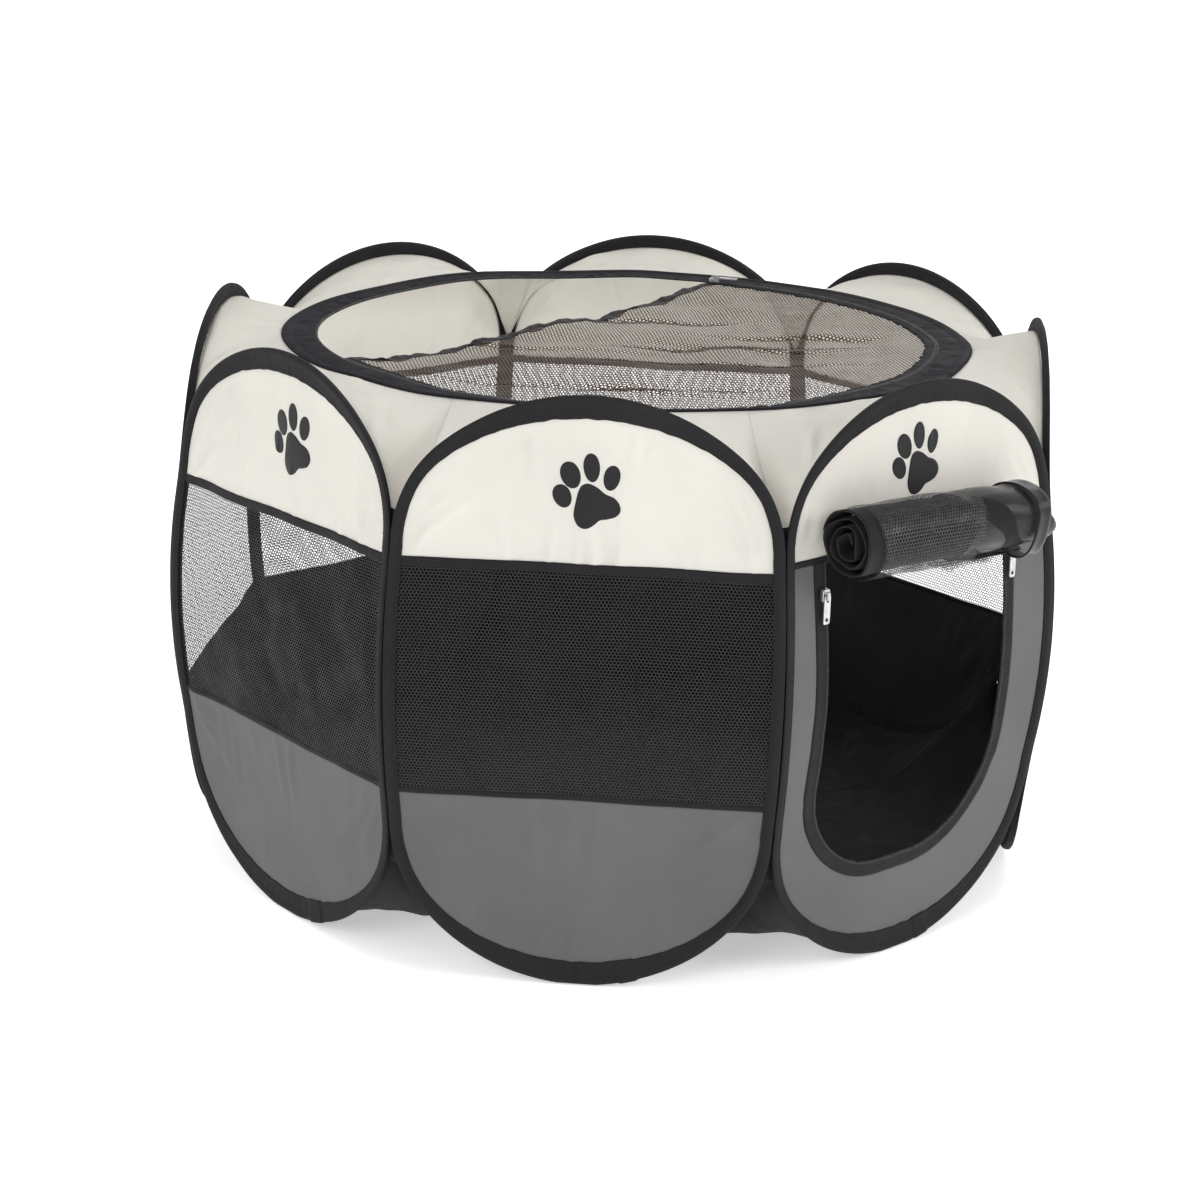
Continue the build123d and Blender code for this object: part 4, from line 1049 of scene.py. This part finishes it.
# ------------------------------------------------------------------ floor
def floor_part(k):
    rows_flat, rows_up, cols = ((14, 12, 73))
    s = np.linspace(-1, 1, cols)
    th = np.radians(22.5 * s)
    fu, fn = 330 * np.sin(th), 330 * np.cos(th)
    cn = float(bulge_n(124)) - 6.0
    ru = s * (cn * TAN)
    blend = step((np.abs(s) - 0.92) / 0.08)
    rz = np.interp(np.abs(ru), np.linspace(0, 179, 300), np.select(
        [np.linspace(0, 179, 300) <= 150.9], [Z_LB - np.sqrt(np.maximum(R_LB ** 2 - np.linspace(0, 179, 300) ** 2, 0))],
        LOW_Z - np.sqrt(np.maximum(R_LC ** 2 - (np.linspace(0, 179, 300) - CX_L) ** 2, 0)))) + 9.0
    rz = np.maximum(rz, 8.0)
    rz = rz * (1 - blend) + 131 * blend
    rn = (bulge_n(rz) - 3.0) * (1 - blend) + cn * blend
    g = soft_noise(800 + k, 8, 35, 120)
    h = soft_noise(820, 8, 60, 200)
    grid = []
    for j in range(1, rows_flat + 1):
        t = j / rows_flat
        u, n = fu * t, fn * t
        x, y = world(k, u, n, 0)[:, 0] * 1000, world(k, u, n, 0)[:, 1] * 1000
        grid.append((u, n, 1.9 + 0.7 * h(x, y) * step((1 - t) / 0.2) + 0 * u))
    for j in range(1, rows_up + 1):
        t = j / rows_up
        e = t ** 1.25
        u, n = fu * (1 - t) + ru * t, fn * (1 - t) + rn * t
        z = 1.9 * (1 - e) + rz * e
        w = step(t / 0.2) * step((1 - t) / 0.2) * (1 - np.abs(s) ** 8)
        grid.append((u, n, z + 1.6 * g(u, n) * w))
    front = np.stack([world(k, *r) for r in grid])
    front[..., 2] = np.maximum(front[..., 2], 0.0009)
    back = front - np.array([0, 0, 0.0007])
    centre = np.array([[0, 0, 0.0019], [0, 0, 0.0012]])
    rows = len(grid)
    m = rows * cols
    v = np.concatenate([front.reshape(-1, 3), back.reshape(-1, 3), centre])
    q = grid_quads(rows, cols)
    nm = np.cross(v[q[:, 1]] - v[q[:, 0]], v[q[:, 3]] - v[q[:, 0]])
    if nm[:, 2].sum() < 0:
        q = q[:, ::-1]
        tri = np.stack([np.full(cols - 1, 2 * m), np.arange(cols - 1), np.arange(1, cols)], -1)
    else:
        tri = np.stack([np.full(cols - 1, 2 * m), np.arange(1, cols), np.arange(cols - 1)], -1)
    tn = np.cross(v[tri[:, 1]] - v[tri[:, 0]], v[tri[:, 2]] - v[tri[:, 0]])
    if tn[:, 2].sum() < 0:
        tri = tri[:, ::-1]
    tri2 = tri[:, ::-1].copy()
    tri2 = np.where(tri2 == 2 * m, 2 * m + 1, tri2 + m)
    outer = np.arange((rows - 1) * cols, rows * cols)
    left = np.concatenate([[2 * m], np.arange(rows) * cols])
    right = np.concatenate([[2 * m], np.arange(rows) * cols + cols - 1])
    mate = lambda a: np.where(a == 2 * m, 2 * m + 1, a + m)
    sides = []
    for e in (outer, left, right):
        sides.append(np.stack([e[:-1], e[1:], mate(e[1:]), mate(e[:-1])], -1))
    uvw = v[:, :2]
    o = link(f"floor_fabric_{k}", v, [q, q[:, ::-1] + m, tri, tri2] + sides, [M_FLOOR], uv=uvw)
    fix_normals(o)
    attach(o, f"panel_{k}")
    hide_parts("floor_cloth")
    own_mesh(o)


def fix_normals(o):
    import bmesh
    bm = bmesh.new()
    bm.from_mesh(o.data)
    bmesh.ops.recalc_face_normals(bm, faces=bm.faces)
    bm.to_mesh(o.data)
    bm.free()


# ------------------------------------------------------------------ corner strips
def corner_strip(j):
    """Black strip inside the corner between panel j and the next, from the roof's valley down to the floor cloth."""
    a, b = j, j % 8 + 1
    z = np.linspace(115, 467, 70)
    rip = 0.5 * np.sin(z / 13.0 + j) + 0.4 * np.sin(z / 5.9 + 2 * j)
    n = bulge_n(z) - 4.45 + 0 * z
    left = [(6.4, 0.0), (4.6, 0.15), (2.2, 0.0)]
    wide = 1 + 1.15 * step((146 - z) / 18) + 0.35 * step((z - 448) / 14)
    cols = [world(a, n * TAN - d * wide - 0.1, n - o - 0.25 * rip, z) for d, o in left]
    cols.append(world(a, (n - 0.3) * TAN, n - 0.3, z))
    cols += [world(b, -(n * TAN - d * wide - 0.1), n - o - 0.25 * rip, z) for d, o in left[::-1]]
    front = np.stack(cols, 1)
    ang = math.radians(-90 + 45 * (j + 0.5 - 3))
    inward = np.array([-math.cos(ang), -math.sin(ang), 0])
    back = front + inward * 0.0009
    along = np.array([-6.4, -4.6, -2.2, 0, 2.2, 4.6, 6.4])
    uv = np.stack(np.broadcast_arrays(along[None] * 0.001, z[:, None] * 0.001), -1)
    if j == 7:
        for part, sl, body in (("a", slice(0, 4), a), ("b", slice(3, 7), b)):
            o = sheet_mesh(f"corner_strip_{j}{part}", front[:, sl], back[:, sl], [M_BIND], uv[:, sl])
            fix_normals(o)
            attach(o, f"panel_{body}")
        return
    o = sheet_mesh(f"corner_strip_{j}", front, back, [M_BIND], uv)
    fix_normals(o)
    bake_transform(o)


# ------------------------------------------------------------------ door
def u_curve(half, low, r, count):
    """Points down the left side of the doorway, round its bottom and up the right side, from z 432, with the straight part spaced by height."""
    side = np.linspace(DOOR_SEAM - 0.6, low + r, count[0])
    left = np.stack([np.full_like(side, -half), side], -1)
    c1 = arc(-half + r, low + r, r, math.pi, 1.5 * math.pi, count[1])
    flat = np.stack([np.linspace(-half + r, half - r, count[2], endpoint=False), np.full(count[2], low)], -1)
    c2 = arc(half - r, low + r, r, 1.5 * math.pi, 2 * math.pi, count[1])
    right = np.stack([np.full_like(side, half), side[::-1]], -1)
    return np.concatenate([left, c1[1:], flat, c2, right]) + [DOOR_C, 0]


def door_panel():
    k = 3
    cnt = ((64, 40, 9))
    inner = u_curve(DOOR_HALF, DOOR_LOW, DOOR_R, cnt)
    n_side = cnt[0]
    total = len(inner)
    # the hoop's curve, matched height for height at the sides and by share below
    side = inner[:n_side, 1]
    outer = np.zeros_like(inner)
    outer[:n_side] = np.stack([-half_w(side, 6.9), side], -1)
    outer[-n_side:] = outer[:n_side][::-1] * [-1, 1]
    z0 = side[-1]
    pts, _, _, q, length = rim(2400)
    low = pts[(pts[:, 1] <= z0)]
    low = low[np.argsort(np.arctan2(low[:, 1] - 250, low[:, 0]))]
    lw = []
    for (u, z) in low:
        d = np.array([0 - u, 190 - z])
        lw.append((u, z))
    low = np.array(lw)
    # inset the rim to the edge that lies in the binding
    cen = np.array([0.0, 215.0])
    inset = []
    for p in low:
        a = abs(p[0])
        if p[1] - Z_LB > math.tan(ANG_L) * a and p[1] < LOW_Z:
            c = np.array([math.copysign(CX_L, p[0]), LOW_Z])
        elif p[1] < LOW_Z:
            c = np.array([0.0, Z_LB])
        else:
            c = np.array([math.copysign(SX, p[0]), SZ])
            c[0] = SX * (1 if p[0] > 0 else -1)
        v = c - p
        inset.append(p + v / np.linalg.norm(v) * 6.9)
    low = np.array(inset)
    sl = np.concatenate([[0], np.cumsum(np.hypot(*np.diff(low, axis=0).T))])
    inner_low = inner[n_side - 1: total - n_side + 1]
    il = np.concatenate([[0], np.cumsum(np.hypot(*np.diff(inner_low, axis=0).T))])
    share = il / il[-1]
    match = np.stack([np.interp(share * sl[-1], sl, low[:, 0]), np.interp(share * sl[-1], sl, low[:, 1])], -1)
    outer[n_side - 1: total - n_side + 1] = match
    t = np.linspace(0, 1, 16)[:, None, None]
    p = outer[None] * (1 - t) + inner[None] * t
    u, z = p[..., 0], p[..., 1]
    o = cloth_piece("door_surround_fabric", k, "lower", u, z, 0.8, [M_GREY, M_BACKING], 1, ["door_surround"])
    flat_area(u, z)
    # zip tape round the doorway: a folded hem, the tape, and the coil on its inner edge
    offs = np.array([137.5, 136.6, 134.0, 130.0, 126.0, 123.6, 123.0])
    lift = np.array([0.55, 1.15, 1.25, 0.85, 1.0, 1.1, 0.4])
    rows, fr, bk = [], [], []
    base = u_curve(DOOR_HALF, DOOR_LOW, DOOR_R, cnt)
    tang = np.gradient(base, axis=0)
    tang /= np.linalg.norm(tang, axis=1)[:, None]
    into = np.stack([-tang[:, 1], tang[:, 0]], -1)
    sl = np.concatenate([[0], np.cumsum(np.hypot(*np.diff(base, axis=0).T))])
    wav = 0.3 * np.sin(sl / 31) + 0.2 * np.sin(sl / 11.0)
    for of, li in zip(offs, lift):
        pp = base + into * (DOOR_HALF - of)
        rows.append(pp)
        nn = cloth_n(k, "lower", pp[:, 0], pp[:, 1])
        fr.append(world(k, pp[:, 0], nn + 0.45 + li + wav * 0.3, pp[:, 1]))
        bk.append(world(k, pp[:, 0], nn - 0.45 - li * 0.4, pp[:, 1]))
    uv = np.stack(np.broadcast_arrays(offs[:, None] * 0.001, sl[None] * 0.001), -1)
    o = sheet_mesh("door_zip_tape_fabric", np.stack(fr), np.stack(bk), [M_TAPE], uv)
    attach(o, "panel_3")
    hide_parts("door_zip_tape")
    # coil
    at = np.arange(3.0, sl[-1] - 3, 2.3)
    cu, cz = np.interp(at, sl, base[:, 0] + into[:, 0] * 11.2), np.interp(at, sl, base[:, 1] + into[:, 1] * 11.2)
    iu, iz = np.interp(at, sl, into[:, 0]), np.interp(at, sl, into[:, 1])
    c = world(k, cu, cloth_n(k, "lower", cu, cz) + 1.2, cz)
    ax = world(k, iu, 0, iz)
    ay = world(k, -iz, 0, iu)
    az = np.broadcast_to(world(k, 0, 1, 0), ax.shape)
    o = boxes("door_zip_coil", c, ax * 1.6, ay * 0.72, az * 0.9, M_COIL)
    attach(o, "panel_3")


def spiral(name, u0, u1, r0, r1, turns, phase, thick, mats, wob=0.0, end_wob=0.0, seed=0, cols=26, body="rolled_door", steps=46):
    """Closed thin sheet wound round the roll's axis."""
    ns = max(8, int(steps * turns * (1)))
    ph = np.linspace(0, turns * 2 * math.pi, ns)
    r = r0 + (r1 - r0) * ph / ph[-1]
    g = ring_noise(seed, [2, 3, 5], 1.0)
    h = ring_noise(seed + 1, [3, 7], 1.0)
    us = np.linspace(0, 1, cols)
    e0, e1 = u0 + end_wob * g(ph * 0.7), u1 + end_wob * h(ph * 0.6)
    u = e0[:, None] * (1 - us) + e1[:, None] * us
    rr = r[:, None] + wob * (g(ph)[:, None] * 0.5 + 0.7 * np.sin(u / 23.0 + ph[:, None] * 1.7) + 0.45 * np.sin(u / 9.5 + ph[:, None] * 2.3 + seed))
    a = phase + ph[:, None]

    def pt(rad):
        sagz = ROLL_SAG(u)
        return world(3, u, ROLL_N + rad * np.cos(a), ROLL_Z + rad * np.sin(a) * 1.04 + sagz)
    uv = np.stack(np.broadcast_arrays(u * 0.001, (r * ph / 2)[:, None] * 0.001), -1)
    o = sheet_mesh(name, pt(rr + thick / 2), pt(rr - thick / 2), mats, uv)
    fix_normals(o)
    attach(o, body)
    return o


ROLL_N, ROLL_Z = 474.2, 454.0


def ROLL_SAG(u):
    return -2.0 * np.cos(np.asarray(u) / 90.0) - 9.0 * step((np.asarray(u) + 100) / 240.0)


def door_roll():
    # wound netting: its plain borders show at both ends
    o = spiral("door_roll_layers", -118, 88, 7, 30.0, 4.2, 1.2, 1.0, [M_ROLL], wob=0.8, end_wob=2.0, seed=971, cols=30)
    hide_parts("door_roll")
    o = spiral("door_roll_border_left", -140, -108, 8.5, 33.0, 3.4, 0.4, 1.5, [M_TAPE], wob=0.9, end_wob=2.6, seed=975, cols=12)
    o = spiral("door_roll_border_right", -2, 112, 8.5, 33.4, 3.4, 2.2, 1.5, [M_STRAP], wob=1.5, end_wob=5.0, seed=979, cols=30)
    # open netting on the outside of the roll, and its loose hem hanging below
    r = 33.2
    pitch, strand = ((3.6, 0.95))
    arc_len = 2 * math.pi * r * 1.12
    p, q = hex_net(pitch, strand, lambda a, b: (a > -124) & (a < 14 + 7 * np.sin(b / 17.0) + 3 * np.sin(b / 6.0)) & (b > 0) & (b < arc_len), (-124, 28, 0, arc_len))
    a = 0.4 + p[:, 1] / r
    rr = r + 0.9 * p[:, 1] / arc_len + 0.5 * np.sin(p[:, 0] / 17.0 + a * 2) + 0.35 * np.sin(p[:, 0] / 7.3 + 3 * a)
    v = world(3, p[:, 0], ROLL_N + rr * np.cos(a), ROLL_Z + rr * 1.04 * np.sin(a) + ROLL_SAG(p[:, 0]))
    o = link("door_roll_netting", v, [q], [M_ROLLNET], uv=p * 0.001)
    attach(o, "rolled_door")
    drop = 21.0
    pitch, strand = ((3.2, 1.10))
    p, q = hex_net(pitch, strand, lambda a, b: (b < drop * (0.55 + 0.35 * np.sin(a / 34.0 + 0.5) + 0.1 * np.sin(a / 9.0))) & (a > -96) & (a < 82), (-96, 84, 0, drop + 6))
    w = 2.4 * np.sin(p[:, 0] / 11.0) * p[:, 1] / drop + 1.5 * np.sin(p[:, 0] / 5.0 + 1) * p[:, 1] / drop
    n = ROLL_N - 14 + w
    z = ROLL_Z - math.sqrt(32 ** 2 - 14 ** 2) * 1.04 + ROLL_SAG(p[:, 0]) - p[:, 1] + 1.5
    o = link("door_roll_hem", world(3, p[:, 0], n, z), [q], [M_ROLLNET], uv=p * 0.001)
    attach(o, "rolled_door")
    # strap: a satin band round the right end with a loop that stands off the roll
    cnt = 140
    ph = np.linspace(0, 2 * math.pi, cnt, endpoint=False)
    us = np.linspace(84, 102, 7)
    bulge = 1.0 + 0.16 * np.exp(-((ph - 5.3) / 0.55) ** 2) + 0.05 * np.exp(-((ph - 0.6) / 0.4) ** 2)
    rr = 33.6 * bulge[:, None] - 0.5 * np.cos(np.linspace(-1, 1, 7) * math.pi)[None] * 0.6 + 0.5 * np.sin(3 * ph)[:, None]
    u = us[None] + 2.2 * np.sin(ph * 2 + 0.4)[:, None]
    f = world(3, u, ROLL_N + (rr + 0.8) * np.cos(ph)[:, None], ROLL_Z + (rr + 0.8) * 1.02 * np.sin(ph)[:, None] + ROLL_SAG(u))
    b = world(3, u, ROLL_N + (rr - 0.7) * np.cos(ph)[:, None], ROLL_Z + (rr - 0.7) * 1.02 * np.sin(ph)[:, None] + ROLL_SAG(u))
    m = cnt * 7
    ring = np.arange(cnt)
    def q(off, flip):
        a_ = ring[:, None] * 7 + np.arange(6)[None]
        b_ = ((ring + 1) % cnt)[:, None] * 7 + np.arange(6)[None]
        z_ = np.stack([a_, b_, b_ + 1, a_ + 1], -1).reshape(-1, 4) + off
        return z_[:, ::-1] if flip else z_
    nx = (ring + 1) % cnt
    e0 = np.stack([ring * 7, nx * 7, nx * 7 + m, ring * 7 + m], -1)
    e1 = np.stack([ring * 7 + 6, nx * 7 + 6, nx * 7 + 6 + m, ring * 7 + 6 + m], -1)[:, ::-1]
    v = np.concatenate([f.reshape(-1, 3), b.reshape(-1, 3)])
    uv = np.stack(np.broadcast_arrays(us[None] * 0.001, ph[:, None] * 0.033), -1).reshape(-1, 2)
    o = link("roll_strap_satin", v, [q(0, False), q(m, True), e0, e1], [M_STRAP], uv=np.concatenate([uv, uv]))
    fix_normals(o)
    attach(o, "rolled_door")
    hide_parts("roll_strap")


# ------------------------------------------------------------------ small details
def ring_white_dots():
    # three small white rounded blocks raised on the ring band, at the front of the pen
    for i, (x, y) in enumerate(((-152, -320), (-124, -320), (-98, -322))):
        th = math.atan2(y, x)
        c = np.array([[x, y, float(ring_z(np.array(th), math.hypot(x, y))) + 1.9]]) * 0.001
        rad = np.array([[math.cos(th), math.sin(th), 0]])
        tan = np.array([[-math.sin(th), math.cos(th), 0]])
        o = boxes(f"ring_white_dot_{i + 1}", c, rad * 0.0016, tan * 0.0022, np.array([[0, 0, 0.0009]]), M_WHITE)
        k = {0: 2, 1: 3, 2: 3}[i]
        b = math.degrees(th)
        k = int(round((b + 90) / 45)) + 3
        k = (k - 1) % 8 + 1
        mod = o.modifiers.new("round", "SUBSURF")
        mod.levels = mod.render_levels = 2
        apply_modifiers(o)
        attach(o, f"panel_{k}")
        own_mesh(o)


def apply_modifiers(o):
    dg = bpy.context.evaluated_depsgraph_get()
    me = bpy.data.meshes.new_from_object(o.evaluated_get(dg))
    o.modifiers.clear()
    o.data = me


# ------------------------------------------------------------------ build
for k in PANELS:
    binding(k)
    panel_cloths(k)
    gore(k)
    ring_part(k)
    floor_part(k)
    corner_strip(k)
PAWS = {1: (20, 494, 4), 2: (2, 488, 0), 3: (-8, 503, 2)}
for k in (1, 2, 3, 4, 8):
    paw(k, *PAWS.get(k, (2, 492, 0)))
cover()
door_panel()
door_roll()
ring_white_dots()

for name, o in frame["nodes"].items():
    mat = None
    if name.startswith("hoop_wire"):
        mat = M_STEEL
    elif "slider" in name or "pull" in name:
        mat = M_METAL
    if mat:
        o.data.materials.clear()
        o.data.materials.append(mat)

# ------------------------------------------------------------------ stage and light
me = bpy.data.meshes.new("stage_floor")
me.from_pydata([(-60, -60, 0), (60, -60, 0), (60, 60, 0), (-60, 60, 0)], [], [(0, 1, 2, 3)])
floor = bpy.data.objects.new("stage_floor", me)
bpy.context.scene.collection.objects.link(floor)
floor.location.z = -0.0002
me.materials.append(floor_material())


def area_light(name, where, target, size, power):
    data = bpy.data.lights.new(name, "AREA")
    data.shape = "DISK"
    data.size = size
    data.energy = power
    o = bpy.data.objects.new(name, data)
    bpy.context.scene.collection.objects.link(o)
    o.location = where
    o.rotation_euler = (Vector(target) - Vector(where)).to_track_quat("-Z", "Y").to_euler()
    return o


def softbox(name, azimuth, elevation, distance, size, power):
    a, e = math.radians(azimuth), math.radians(elevation)
    back = Vector((math.sin(a) * math.cos(e), -math.cos(a) * math.cos(e), math.sin(e)))
    area_light(name, Vector((0, 0, 0.3)) + back * distance, (0, 0, 0.3), size, power)


softbox("front", -66, 28, 4.6, 1.9, 54)
softbox("front_right", 26, 21, 4.6, 1.9, 88)
softbox("left_high", -92, 40, 4.6, 1.8, 14)
softbox("back_right", 120, 34, 4.6, 2.4, 46)
softbox("back_left", -160, 34, 4.6, 2.4, 36)
w = bpy.data.worlds.new("studio")
bpy.context.scene.world = w
w.use_nodes = True
bg = w.node_tree.nodes.get("Background") or w.node_tree.nodes.new("ShaderNodeBackground")
bg.inputs[0].default_value = (1.0, 1.0, 1.0, 1)
bg.inputs[1].default_value = 0.60
bpy.context.scene.view_settings.view_transform = "Standard"
bpy.context.scene.view_settings.look = "None"
